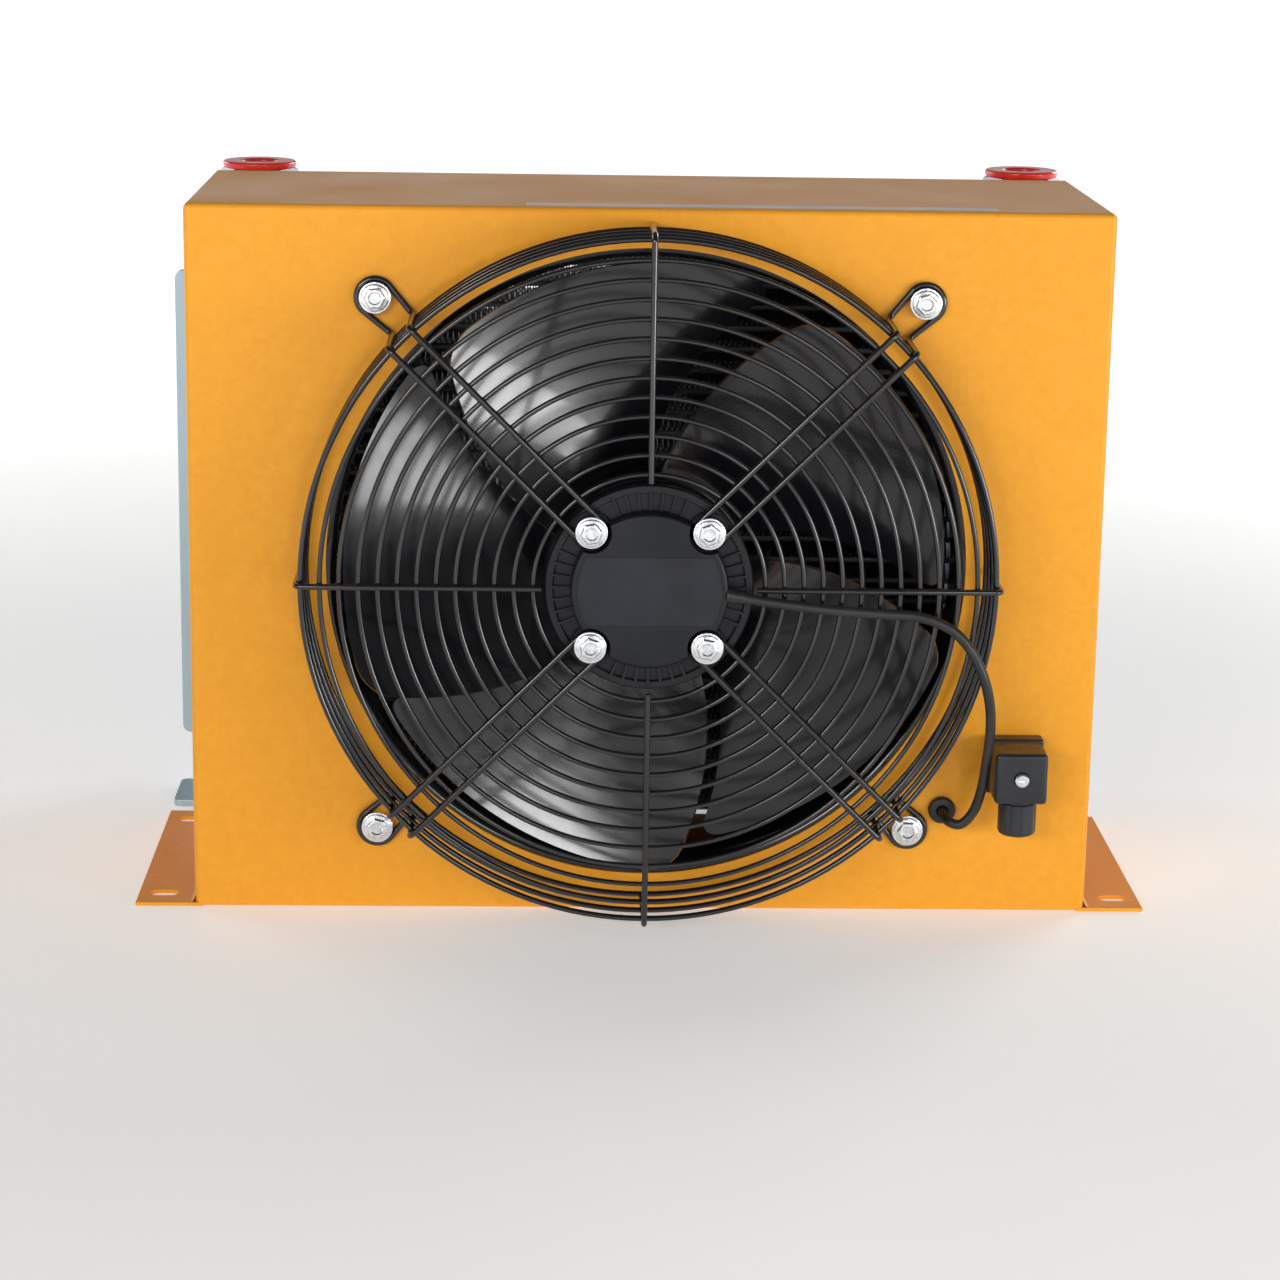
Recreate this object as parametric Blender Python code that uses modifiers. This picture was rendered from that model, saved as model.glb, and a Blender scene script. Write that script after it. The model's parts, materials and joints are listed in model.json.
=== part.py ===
"""Air-blast hydraulic oil cooler: shroud, axial fan, wire guard and plate-fin core.

Metres, +Z up. The fan side faces -Y and the core side faces +Y. The feet stand on z = 0,
and the origin is at the middle of the footprint of the whole cooler.
"""
import math

import bmesh
import bpy
from mathutils import Matrix, Vector

# ---- driving dimensions ---------------------------------------------------------------
WIDTH = 0.452            # shroud and core, tank to tank
HEIGHT = 0.355           # shroud
SHROUD_DEPTH = 0.160
SHEET = 0.002            # folded steel sheet of the shroud
GAP = 0.0003             # between pieces that touch
FOOT_REACH = 0.030       # shroud feet and rear foot bar, beyond the sides

CORE_DEPTH = 0.058
CORE_HEIGHT = 0.320
FOOT_BAR = 0.004         # thickness of the rear foot bar
FIN_ROWS = 27
FIN_HEIGHT = 0.0085
TUBE_HEIGHT = 0.003
FIN_HALF = 0.174         # half length of a fin row
HEADER_HALF = 0.193      # half length of the core with its header bars
TANK_WALL = 0.003

BRACKET_HEIGHT = 0.267
BRACKET_LEG = 0.031
BRACKET_FLANGE = 0.037
BRACKET_SHEET = 0.005
BRACKET_HOLE_HALF = 0.065

PORT_X = 0.205
PORT_FLATS = 0.036       # across the flats of the hexagon socket
PORT_TALL = 0.029

FAN_RADIUS = 0.150
OPENING_RADIUS = 0.1585  # hole in the panel
DUCT_RADIUS = 0.154      # inside of the ring that the blade tips run in
BLADES = 5
GUARD_RADIUS = 0.168     # outer rings of the wire guard
RINGS = 13
RING_FIRST = 0.056
WIRE = 0.0017            # half thickness of a guard wire
RING_H = 0.0455          # height of the ring plane in front of the panel
RIM_H = 0.0430           # height of the foremost outer ring
SPOKE_H = 0.0478
LUG_HALF = 0.1335        # guard bolts, half of the square pattern
HUB_HALF = 0.0282        # hub bolts, half of the square pattern
LOOP = 0.007             # half spacing of the two wires of an arm
LUG_LOOP = 0.009         # radius of an arm's loop round its guard bolt
CABLE = 0.0025           # radius of the motor lead

BOLT_HEAD = 0.0045
CLEAR = 0.004            # how far a cutter runs past what it cuts

# ---- places worked out from them ------------------------------------------------------
FRONT_REACH = SPOKE_H + WIRE + GAP + BOLT_HEAD
REAR_REACH = SHROUD_DEPTH + GAP + CORE_DEPTH + GAP + BRACKET_LEG
PANEL_Y = (FRONT_REACH - REAR_REACH) / 2
SHROUD_BACK = PANEL_Y + SHROUD_DEPTH
CORE_FRONT = SHROUD_BACK + GAP
CORE_BACK = CORE_FRONT + CORE_DEPTH
CORE_MID = (CORE_FRONT + CORE_BACK) / 2
CORE_BOTTOM = FOOT_BAR + GAP
CORE_TOP = CORE_BOTTOM + CORE_HEIGHT
FAN_Z = HEIGHT / 2
CONNECTOR_X = 0.186
CONNECTOR_Z = FAN_Z - 0.098
GROMMET = (0.1510, -0.1235)      # x and height above the fan axis

MODEL = bpy.data.collections.new("oil_cooler")
CUTTERS = bpy.data.collections.new("cutters")


# ---- helpers --------------------------------------------------------------------------
def clear_scene():
    for obj in list(bpy.data.objects):
        bpy.data.objects.remove(obj, do_unlink=True)
    for collection in (MODEL, CUTTERS):
        bpy.context.scene.collection.children.link(collection)


def material(name, colour, metallic, roughness):
    made = bpy.data.materials.new(name)
    made.use_nodes = True
    shader = made.node_tree.nodes["Principled BSDF"]
    shader.inputs["Base Color"].default_value = (*colour, 1)
    shader.inputs["Metallic"].default_value = metallic
    shader.inputs["Roughness"].default_value = roughness
    made.diffuse_color = (*colour, 1)
    return made


def add(name, mesh, finish=None):
    """Link a mesh as a model piece, or as a cutter when it has no material."""
    obj = bpy.data.objects.new(name, mesh)
    if finish:
        MODEL.objects.link(obj)
        mesh.materials.clear()
        mesh.materials.append(finish)
    else:
        CUTTERS.objects.link(obj)
        obj.hide_render = True
        obj.display_type = "WIRE"
    return obj


def boxes_mesh(name, corners):
    """One mesh of separate boxes, each given by its low and high corner."""
    bm = bmesh.new()
    for low, high in corners:
        low, high = Vector(low), Vector(high)
        place = Matrix.Translation((low + high) / 2) @ Matrix.Diagonal((*(high - low), 1))
        bmesh.ops.create_cube(bm, size=1, matrix=place)
    mesh = bpy.data.meshes.new(name)
    bm.to_mesh(mesh)
    bm.free()
    return mesh


def box(name, low, high, finish=None):
    return add(name, boxes_mesh(name, [(low, high)]), finish)


def rods_mesh(name, centres, radius, low, high, axis, segments=16):
    """One mesh of separate cylinders along Y or Z, centred on the given points."""
    turn = Matrix.Rotation(math.pi / 2, 4, "X") if axis == "Y" else Matrix.Identity(4)
    bm = bmesh.new()
    for a, b in centres:
        middle = (a, (low + high) / 2, b) if axis == "Y" else (a, b, (low + high) / 2)
        place = Matrix.Translation(middle) @ turn
        bmesh.ops.create_cone(bm, cap_ends=True, segments=segments, radius1=radius,
                              radius2=radius, depth=high - low, matrix=place)
    mesh = bpy.data.meshes.new(name)
    bm.to_mesh(mesh)
    bm.free()
    return mesh


def rods(name, centres, radius, low, high, axis, segments=16, finish=None):
    return add(name, rods_mesh(name, centres, radius, low, high, axis, segments), finish)


def combine(obj, other, operation):
    step = obj.modifiers.new(other.name, "BOOLEAN")
    step.operation = operation
    step.solver = "EXACT"
    step.object = other
    return obj


def smooth(obj, degrees=35):
    obj.data.shade_smooth()
    obj.data.set_sharp_from_angle(angle=math.radians(degrees))


def fan_place(obj):
    """Local Z points forward, out of the panel, along the fan's axis."""
    obj.location = (0, PANEL_Y, FAN_Z)
    obj.rotation_euler = (math.pi / 2, 0, 0)


def turned(name, profile, segments, finish=None):
    """Turn a closed (radius, height) profile about local Z."""
    area = 0
    for (r0, h0), (r1, h1) in zip(profile, profile[1:] + profile[:1]):
        area += r0 * h1 - r1 * h0
    if area > 0:
        profile = profile[::-1]
    count = len(profile)
    on_axis = [i for i, (r, _) in enumerate(profile) if r == 0]
    edges = [(i, (i + 1) % count) for i in range(count)]
    if on_axis:
        edges = [e for e in edges if not (e[0] in on_axis and e[1] in on_axis)]
    mesh = bpy.data.meshes.new(name)
    mesh.from_pydata([(r, 0, h) for r, h in profile], edges, [])
    obj = add(name, mesh, finish)
    spin = obj.modifiers.new("turn", "SCREW")
    spin.axis = "Z"
    spin.angle = math.tau
    spin.steps = segments
    spin.render_steps = segments
    spin.use_merge_vertices = True
    spin.merge_threshold = 0.00001
    spin.use_smooth_shade = False
    return obj


def rounded(points, radius, steps=3):
    """Replace each inner corner of an open polyline by an arc of the given radius."""
    points = [Vector(p) for p in points]
    out = [points[0]]
    for before, corner, after in zip(points, points[1:], points[2:]):
        a = (before - corner).normalized()
        b = (after - corner).normalized()
        half = a.angle(b) / 2
        reach = radius / math.tan(half)
        middle = corner + (a + b).normalized() * (radius / math.sin(half))
        start = (corner + a * reach - middle).normalized()
        stop = (corner + b * reach - middle).normalized()
        for i in range(steps + 1):
            out.append(middle + start.slerp(stop, i / steps) * radius)
    out.append(points[-1])
    return out


def flowing(points, spacing):
    """Points on a smooth curve through the given ones, about one every spacing."""
    points = [Vector(p) for p in points]
    ends = [2 * points[0] - points[1]] + points + [2 * points[-1] - points[-2]]
    out = []
    for p0, p1, p2, p3 in zip(ends, ends[1:], ends[2:], ends[3:]):
        steps = max(1, round((p2 - p1).length / spacing))
        for i in range(steps):
            t = i / steps
            out.append(0.5 * (2 * p1 + (p2 - p0) * t + (2 * p0 - 5 * p1 + 4 * p2 - p3) * t * t
                              + (3 * p1 - p0 - 3 * p2 + p3) * t ** 3))
    out.append(points[-1])
    return out


def wire_curve(name, points, radius, cyclic, resolution):
    curve = bpy.data.curves.new(name, "CURVE")
    curve.dimensions = "3D"
    curve.bevel_depth = radius
    curve.bevel_resolution = resolution
    curve.use_fill_caps = True
    curve.render_resolution_u = 0
    spline = curve.splines.new("POLY")
    spline.points.add(len(points) - 1)
    for knot, place in zip(spline.points, points):
        knot.co = (*place, 1)
    spline.use_cyclic_u = cyclic
    return bpy.data.objects.new(name, curve)


def joined_wires(name, wires, finish=None):
    """Make one mesh of several (points, cyclic) wires that don't touch each other."""
    bm = bmesh.new()
    for points, cyclic in wires:
        obj = wire_curve(name, points, WIRE, cyclic, 0)
        CUTTERS.objects.link(obj)
        depsgraph = bpy.context.evaluated_depsgraph_get()
        mesh = bpy.data.meshes.new_from_object(obj.evaluated_get(depsgraph))
        bm.from_mesh(mesh)
        bpy.data.meshes.remove(mesh)
        bpy.data.objects.remove(obj, do_unlink=True)
    bmesh.ops.remove_doubles(bm, verts=bm.verts, dist=0.00001)
    bmesh.ops.recalc_face_normals(bm, faces=bm.faces)
    mesh = bpy.data.meshes.new(name)
    bm.to_mesh(mesh)
    bm.free()
    return add(name, mesh, finish)


def prism(name, outline, low, high, finish=None):
    """A flat outline in XY, carried up from low to high."""
    curve = bpy.data.curves.new(name, "CURVE")
    curve.dimensions = "2D"
    curve.fill_mode = "BOTH"
    curve.extrude = (high - low) / 2
    curve.render_resolution_u = 0
    spline = curve.splines.new("POLY")
    spline.points.add(len(outline) - 1)
    for knot, (x, y) in zip(spline.points, outline):
        knot.co = (x, y, 0, 1)
    spline.use_cyclic_u = True
    guide = bpy.data.objects.new(name, curve)
    CUTTERS.objects.link(guide)
    depsgraph = bpy.context.evaluated_depsgraph_get()
    mesh = bpy.data.meshes.new_from_object(guide.evaluated_get(depsgraph))
    bpy.data.objects.remove(guide, do_unlink=True)
    bm = bmesh.new()
    bm.from_mesh(mesh)
    bmesh.ops.remove_doubles(bm, verts=bm.verts, dist=0.00001)
    bmesh.ops.recalc_face_normals(bm, faces=bm.faces)
    bmesh.ops.translate(bm, verts=bm.verts, vec=(0, 0, (low + high) / 2))
    bm.to_mesh(mesh)
    bm.free()
    return add(name, mesh, finish)


def square(half):
    """The four corners of a bolt square about the fan's axis."""
    return [(x * half, z * half) for x in (-1, 1) for z in (1, -1)]


# ---- shroud ---------------------------------------------------------------------------
def fan_shroud(paint):
    """Folded sheet box, open at the back, with feet, a top lip and the fan's opening."""
    half = WIDTH / 2
    shroud = box("fan_shroud", (-half, PANEL_Y, 0), (half, SHROUD_BACK, HEIGHT), paint)
    inside = box("shroud_inside", (-half + SHEET, PANEL_Y + SHEET, SHEET),
                 (half - SHEET, SHROUD_BACK + CLEAR, HEIGHT - SHEET))
    combine(shroud, inside, "DIFFERENCE")
    combine(shroud, shroud_folds(), "UNION")
    opening = rods("fan_opening", [(0, FAN_Z)], OPENING_RADIUS, PANEL_Y - CLEAR,
                   PANEL_Y + CLEAR, "Y", 64)
    combine(shroud, opening, "DIFFERENCE")
    combine(shroud, shroud_holes(), "DIFFERENCE")


def shroud_folds():
    """Feet turned out at the bottom, and the lip and tab turned down over the core."""
    half = WIDTH / 2
    lip_rise, tab_half, tab_reach, chamfer = 0.0025, 0.168, 0.042, 0.010
    tab_low = CORE_TOP + GAP
    feet = []
    for side in (-1, 1):
        low_x, high_x = sorted((side * (half - SHEET / 2), side * (half + FOOT_REACH)))
        feet.append(((low_x, PANEL_Y, 0), (high_x, SHROUD_BACK, SHEET)))
    folds = add("shroud_folds", boxes_mesh("shroud_folds", feet))
    lip_half, lip_high = half - SHEET / 2, HEIGHT - SHEET / 2
    lip = box("shroud_lip", (-lip_half, SHROUD_BACK - SHEET, tab_low + lip_rise),
              (lip_half, SHROUD_BACK, lip_high))
    root = box("tab_root", (-tab_half, SHROUD_BACK - SHEET, tab_low),
               (tab_half, SHROUD_BACK, tab_low + 2 * lip_rise))
    back = SHROUD_BACK + tab_reach
    tab = prism("shroud_tab", [(-tab_half, SHROUD_BACK - SHEET / 2),
                               (tab_half, SHROUD_BACK - SHEET / 2),
                               (tab_half, back - chamfer), (tab_half - chamfer, back),
                               (-tab_half + chamfer, back), (-tab_half, back - chamfer)],
                tab_low + GAP / 4, tab_low + SHEET)
    combine(folds, lip, "UNION")
    combine(folds, root, "UNION")
    combine(folds, tab, "UNION")
    return folds


def inlet_ring(coat):
    """Ring behind the opening: a flange on the panel and the duct that the blades run in."""
    duct, edge, rim = DUCT_RADIUS, OPENING_RADIUS, OPENING_RADIUS + 0.004
    sheet, length = 0.0018, 0.0257
    front = -SHEET - GAP
    profile = [(rim, front), (edge, front), (duct + 0.0014, front - 0.0013),
               (duct, front - 0.0042), (duct, front - length), (duct + sheet, front - length),
               (duct + sheet, front - 0.0050), (edge + 0.0007, front - sheet),
               (rim, front - sheet)]
    ring = turned("inlet_ring", profile, 64, coat)
    fan_place(ring)


def shroud_holes():
    """Guard bolt holes, the grommet's hole and the fixing slots of the feet."""
    holes = rods("shroud_holes", [(x, FAN_Z + z) for x, z in square(LUG_HALF)], 0.0034,
                 PANEL_Y - CLEAR, PANEL_Y + CLEAR, "Y", 12)
    grommet = rods("grommet_hole", [(GROMMET[0], FAN_Z + GROMMET[1])], 0.0052,
                   PANEL_Y - CLEAR, PANEL_Y + CLEAR, "Y", 12)
    combine(holes, grommet, "UNION")
    middle = WIDTH / 2 + 0.017
    for side in (-1, 1):
        for y in (PANEL_Y + 0.016, SHROUD_BACK - 0.016):
            combine(holes, prism("slot", slot_outline(side * middle, y), -CLEAR, CLEAR), "UNION")
    return holes


def slot_outline(x, y):
    """A slot with round ends, drawn about its middle and long in X."""
    stretch, radius, steps = 0.006, 0.0045, 6
    outline = []
    for end in (1, -1):
        for i in range(steps + 1):
            angle = math.pi * (i / steps - 0.5)
            outline.append((x + end * (stretch / 2 + radius * math.cos(angle)),
                            y + end * radius * math.sin(angle)))
    return outline


# ---- core and tanks -------------------------------------------------------------------
def row_low(row):
    """Lower face of a fin row, counted from the bottom."""
    plate = (CORE_HEIGHT - FIN_ROWS * FIN_HEIGHT - (FIN_ROWS - 1) * TUBE_HEIGHT) / 2
    return CORE_BOTTOM + plate + row * (FIN_HEIGHT + TUBE_HEIGHT)


def core_frame(alloy):
    """Plates, flat tubes and header bars, brazed together; the tubes are open inside."""
    core = box("core_frame", (-HEADER_HALF, CORE_FRONT, CORE_BOTTOM),
               (HEADER_HALF, CORE_BACK, CORE_TOP), alloy)
    rows = [((-FIN_HALF, CORE_FRONT - CLEAR, row_low(i)),
             (FIN_HALF, CORE_BACK + CLEAR, row_low(i) + FIN_HEIGHT)) for i in range(FIN_ROWS)]
    combine(core, add("fin_spaces", boxes_mesh("fin_spaces", rows)), "DIFFERENCE")
    bar, wall = 0.005, 0.0007
    ducts = []
    for i in range(FIN_ROWS - 1):
        low = row_low(i) + FIN_HEIGHT
        ducts.append(((-HEADER_HALF - CLEAR, CORE_FRONT + bar, low + wall),
                      (HEADER_HALF + CLEAR, CORE_BACK - bar, low + TUBE_HEIGHT - wall)))
    combine(core, add("oil_ducts", boxes_mesh("oil_ducts", ducts)), "DIFFERENCE")


def fin_rows(fin):
    for i in range(FIN_ROWS):
        low = row_low(i)
        box(f"fin_row_{i + 1:02d}", (-FIN_HALF + GAP, CORE_FRONT + 0.001, low + GAP),
            (FIN_HALF - GAP, CORE_BACK - 0.001, low + FIN_HEIGHT - GAP), fin)


def tank(side, name, alloy):
    """End tank: a box open towards the core, with a port hole in its top."""
    outer = WIDTH / 2
    inner = HEADER_HALF + GAP
    low_x, high_x = sorted((side * inner, side * outer))
    shell = box(f"tank_{name}", (low_x, CORE_FRONT, CORE_BOTTOM), (high_x, CORE_BACK, CORE_TOP), alloy)
    low_x, high_x = sorted((side * (inner - CLEAR), side * (outer - TANK_WALL)))
    space = box(f"tank_space_{name}", (low_x, CORE_FRONT + TANK_WALL, CORE_BOTTOM + TANK_WALL),
                (high_x, CORE_BACK - TANK_WALL, CORE_TOP - TANK_WALL))
    port = rods(f"tank_port_{name}", [(side * PORT_X, CORE_MID)], 0.010,
                CORE_TOP - 2 * CLEAR, CORE_TOP + CLEAR, "Z", 20)
    combine(space, port, "UNION")
    combine(shell, space, "DIFFERENCE")


def port(side, name, alloy):
    """Hexagon weld-on socket with a stepped bore."""
    reach = PORT_FLATS / math.sqrt(3)
    corners = [(side * PORT_X + reach * math.cos(i * math.pi / 3),
                CORE_MID + reach * math.sin(i * math.pi / 3)) for i in range(6)]
    low = CORE_TOP + GAP
    high = low + PORT_TALL
    socket = prism(f"port_{name}", corners, low, high, alloy)
    centre = [(side * PORT_X, CORE_MID)]
    bore = rods(f"port_bore_{name}", centre, 0.010, low - CLEAR, high - 0.010, "Z", 20)
    thread = rods(f"port_thread_{name}", centre, 0.0125, high - 0.016, high + CLEAR, "Z", 20)
    combine(bore, thread, "UNION")
    combine(socket, bore, "DIFFERENCE")


def port_plug(side, name, plastic):
    """Hollow plastic plug with a rim that rests on the socket."""
    rim, body, cup = 0.0195, 0.0121, 0.0095
    depth, rim_tall, floor = 0.014, 0.0035, 0.002
    profile = [(0, -depth), (body, -depth), (body, 0), (rim, 0), (rim, rim_tall - 0.001),
               (rim - 0.001, rim_tall), (cup + 0.001, rim_tall), (cup, rim_tall - 0.001),
               (cup, floor - depth), (0, floor - depth)]
    plug = turned(f"port_plug_{name}", profile, 24, plastic)
    plug.location = (side * PORT_X, CORE_MID, CORE_TOP + GAP + PORT_TALL + GAP)


def bracket(side, name, alloy):
    """Mounting angle on the back of a tank, its flange turned outwards."""
    outer = WIDTH / 2
    start = CORE_BACK + GAP
    tip = outer - BRACKET_SHEET + BRACKET_FLANGE
    back = start + BRACKET_LEG
    outline = [(outer - BRACKET_SHEET, start), (outer, start),
               (outer, back - BRACKET_SHEET), (tip, back - BRACKET_SHEET),
               (tip, back), (outer - BRACKET_SHEET, back)]
    outline = [(side * x, y) for x, y in outline]
    low = CORE_BOTTOM + 0.019
    angle = prism(f"bracket_{name}", outline, low, low + BRACKET_HEIGHT, alloy)
    middle = low + BRACKET_HEIGHT / 2
    centres = [(side * (outer + 0.016), middle + dz) for dz in (-BRACKET_HOLE_HALF, BRACKET_HOLE_HALF)]
    holes = rods(f"bracket_holes_{name}", centres, 0.0048, back - 2 * CLEAR, back + CLEAR, "Y", 16)
    combine(angle, holes, "DIFFERENCE")


def rear_foot_bar(alloy):
    """Flat bar under the core, with a fixing hole in each end."""
    reach = WIDTH / 2 + FOOT_REACH
    low_y, high_y = CORE_BACK - 0.045, CORE_BACK - 0.002
    bar = box("rear_foot_bar", (-reach, low_y, 0), (reach, high_y, FOOT_BAR), alloy)
    centres = [(side * (reach - 0.014), (low_y + high_y) / 2) for side in (-1, 1)]
    combine(bar, rods("foot_bar_holes", centres, 0.0045, -CLEAR, 2 * CLEAR, "Z", 16), "DIFFERENCE")


# ---- wire guard -----------------------------------------------------------------------
def ring_points(radius, height, segments):
    """A ring whose spokes cross it in the middle of a side."""
    corner = radius / math.cos(math.pi / segments)
    return [(corner * math.cos(math.tau * (i + 0.5) / segments),
             corner * math.sin(math.tau * (i + 0.5) / segments), height) for i in range(segments)]


def guard_rings():
    pitch = (GUARD_RADIUS - RING_FIRST) / (RINGS - 1)
    wires = []
    for i in range(RINGS - 1):
        radius = RING_FIRST + i * pitch
        segments = 16 if radius < 0.10 else 24
        wires.append((ring_points(radius, RING_H, segments), True))
    for height in (RIM_H, 0.030, 0.017, 0.0045):
        wires.append((ring_points(GUARD_RADIUS, height, 32), True))
    return joined_wires("guard_rings", wires)


def arm_points(angle):
    """One closed loop of wire: round a hub bolt, out, down the side, round a lug bolt."""
    hub = HUB_HALF * math.sqrt(2)
    lug = LUG_HALF * math.sqrt(2)
    side = math.sqrt((GUARD_RADIUS + SPOKE_H - RING_H) ** 2 - LOOP ** 2)
    rest = WIRE + GAP
    run = rounded([(hub, LOOP, SPOKE_H), (side, LOOP, SPOKE_H), (side, LOOP, rest),
                   (lug, LUG_LOOP, rest)], 0.003, 2)
    turns = 6
    lug_end = [Vector((lug + LUG_LOOP * math.sin(a), LUG_LOOP * math.cos(a), rest))
               for a in (math.pi * i / turns for i in range(1, turns))]
    hub_end = [Vector((hub - LOOP * math.sin(a), -LOOP * math.cos(a), SPOKE_H))
               for a in (math.pi * i / turns for i in range(1, turns))]
    back = [Vector((p.x, -p.y, p.z)) for p in reversed(run)]
    turn = Matrix.Rotation(angle, 3, "Z")
    return [turn @ p for p in run + lug_end + back + hub_end]


def spoke_points(angle):
    """A single wire from the first ring over the rim and back along the side."""
    side = GUARD_RADIUS + SPOKE_H - RING_H
    run = rounded([(RING_FIRST - 0.004, 0, SPOKE_H), (side, 0, SPOKE_H), (side, 0, 0.0015)],
                  0.003, 2)
    turn = Matrix.Rotation(angle, 3, "Z")
    return [turn @ p for p in run]


def fan_guard(coat):
    quarter = math.pi / 2
    wires = [(arm_points(quarter * (i + 0.5)), True) for i in range(4)]
    wires += [(spoke_points(quarter * i), False) for i in range(4)]
    guard = joined_wires("fan_guard", wires, coat)
    fan_place(guard)
    rings = guard_rings()
    fan_place(rings)
    combine(guard, rings, "UNION")


def bolt(name, x, height, z, shank, length, zinc):
    """Flanged screw; its head stands forward of the given height."""
    head, flange = 0.0055, 0.0078
    profile = [(0, -length), (shank, -length), (shank, 0), (flange, 0), (flange, 0.0014),
               (head, 0.0014), (head, BOLT_HEAD), (0, BOLT_HEAD)]
    piece = turned(name, profile, 12, zinc)
    piece.location = (x, PANEL_Y - height, FAN_Z + z)
    piece.rotation_euler = (math.pi / 2, 0, 0)


def bolts(zinc):
    names = ("top_left", "bottom_left", "top_right", "bottom_right")
    for name, (x, z) in zip(names, square(LUG_HALF)):
        bolt(f"guard_bolt_{name}", x, 2 * WIRE + 2 * GAP, z, 0.003, 0.016, zinc)
    for name, (x, z) in zip(names, square(HUB_HALF)):
        bolt(f"hub_bolt_{name}", x, SPOKE_H + WIRE + GAP, z, 0.0025, 0.010, zinc)


# ---- motor and impeller ---------------------------------------------------------------
def motor_flange(cast):
    """Fixed flange of the motor: end cap, four bolt pads and the bearing tube."""
    pad = SPOKE_H - WIRE - GAP
    cap = 0.0525
    profile = [(0, cap), (0.037, cap), (0.038, cap - 0.001), (0.038, pad - 0.0015),
               (0.044, pad - 0.0015), (0.0505, pad - 0.003), (0.0505, 0.038),
               (0.0125, 0.036), (0.0125, -0.010), (0.0088, -0.010), (0.0088, 0.040), (0, 0.040)]
    flange = turned("motor_flange", profile, 32, cast)
    fan_place(flange)
    centres = [(x, FAN_Z + z) for x, z in square(HUB_HALF)]
    pads = rods("bolt_pads", centres, 0.0098, PANEL_Y - pad, PANEL_Y - 0.040, "Y", 16)
    room = rods("pad_room", centres, 0.0098, PANEL_Y - cap - CLEAR, PANEL_Y - pad, "Y", 16)
    holes = rods("hub_bolt_holes", centres, 0.0028, PANEL_Y - cap, PANEL_Y - 0.0385, "Y", 12)
    combine(flange, room, "DIFFERENCE")
    combine(flange, pads, "UNION")
    combine(flange, holes, "DIFFERENCE")


def motor_inside(winding, steel):
    """Wound stator, two bearings and the shaft, all on the fan's axis."""
    core, coil = 0.0345, 0.031
    tube = 0.0128
    profile = [(tube, 0.032), (coil, 0.032), (coil, 0.025), (core, 0.025), (core, 0.001),
               (coil, 0.001), (coil, -0.006), (tube, -0.006)]
    fan_place(turned("stator", profile, 24, winding))
    for name, top in (("front", 0.0390), ("rear", -0.0030)):
        ring = [(0.0043, top), (0.0085, top), (0.0085, top - 0.0060), (0.0043, top - 0.0060)]
        fan_place(turned(f"bearing_{name}", ring, 20, steel))
    fan_place(turned("motor_shaft", [(0, 0.0393), (0.004, 0.0393), (0.004, -0.029), (0, -0.029)],
                     20, steel))


def rotor_shell(cast):
    """Outer rotor: a cup open to the front, carried by the shaft."""
    profile = [(0.0475, 0.0345), (0.0475, -0.028), (0.0043, -0.028), (0.0043, -0.016),
               (0.009, -0.016), (0.009, -0.024), (0.0352, -0.024), (0.0352, 0.0345)]
    fan_place(turned("rotor_shell", profile, 32, cast))


def blade_point(across, out, turn):
    """A point of a blade: across its chord from 0 to 1, and out from hub to tip."""
    radius = 0.0488 + (FAN_RADIUS - 0.0488) * out
    lean = math.radians(-25 * out)
    span = math.radians(66)
    rise = 0.040 + 0.010 * out
    camber = 0.006 * (1 - (2 * across - 1) ** 2)
    angle = turn + lean + span * across
    height = rise * (across - 0.5) - camber
    return (radius * math.cos(angle), radius * math.sin(angle), height)


def impeller(coat):
    """Hub ring with five broad pitched blades."""
    hub = turned("impeller", [(0.0478, 0.026), (0.0500, 0.026), (0.0500, -0.027),
                              (0.0478, -0.027)], 40, coat)
    fan_place(hub)
    along, out = 8, 6
    bm = bmesh.new()
    for number in range(BLADES):
        turn = math.radians(90) + number * math.tau / BLADES
        grid = [[bm.verts.new(blade_point(i / along, j / out, turn)) for i in range(along + 1)]
                for j in range(out + 1)]
        for low, high in zip(grid, grid[1:]):
            for i in range(along):
                bm.faces.new((low[i], low[i + 1], high[i + 1], high[i]))
    mesh = bpy.data.meshes.new("blades")
    bm.to_mesh(mesh)
    bm.free()
    blades = add("blades", mesh)
    fan_place(blades)
    sheet = blades.modifiers.new("sheet", "SOLIDIFY")
    sheet.thickness = 0.0016
    sheet.offset = 0
    combine(hub, blades, "UNION")


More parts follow.
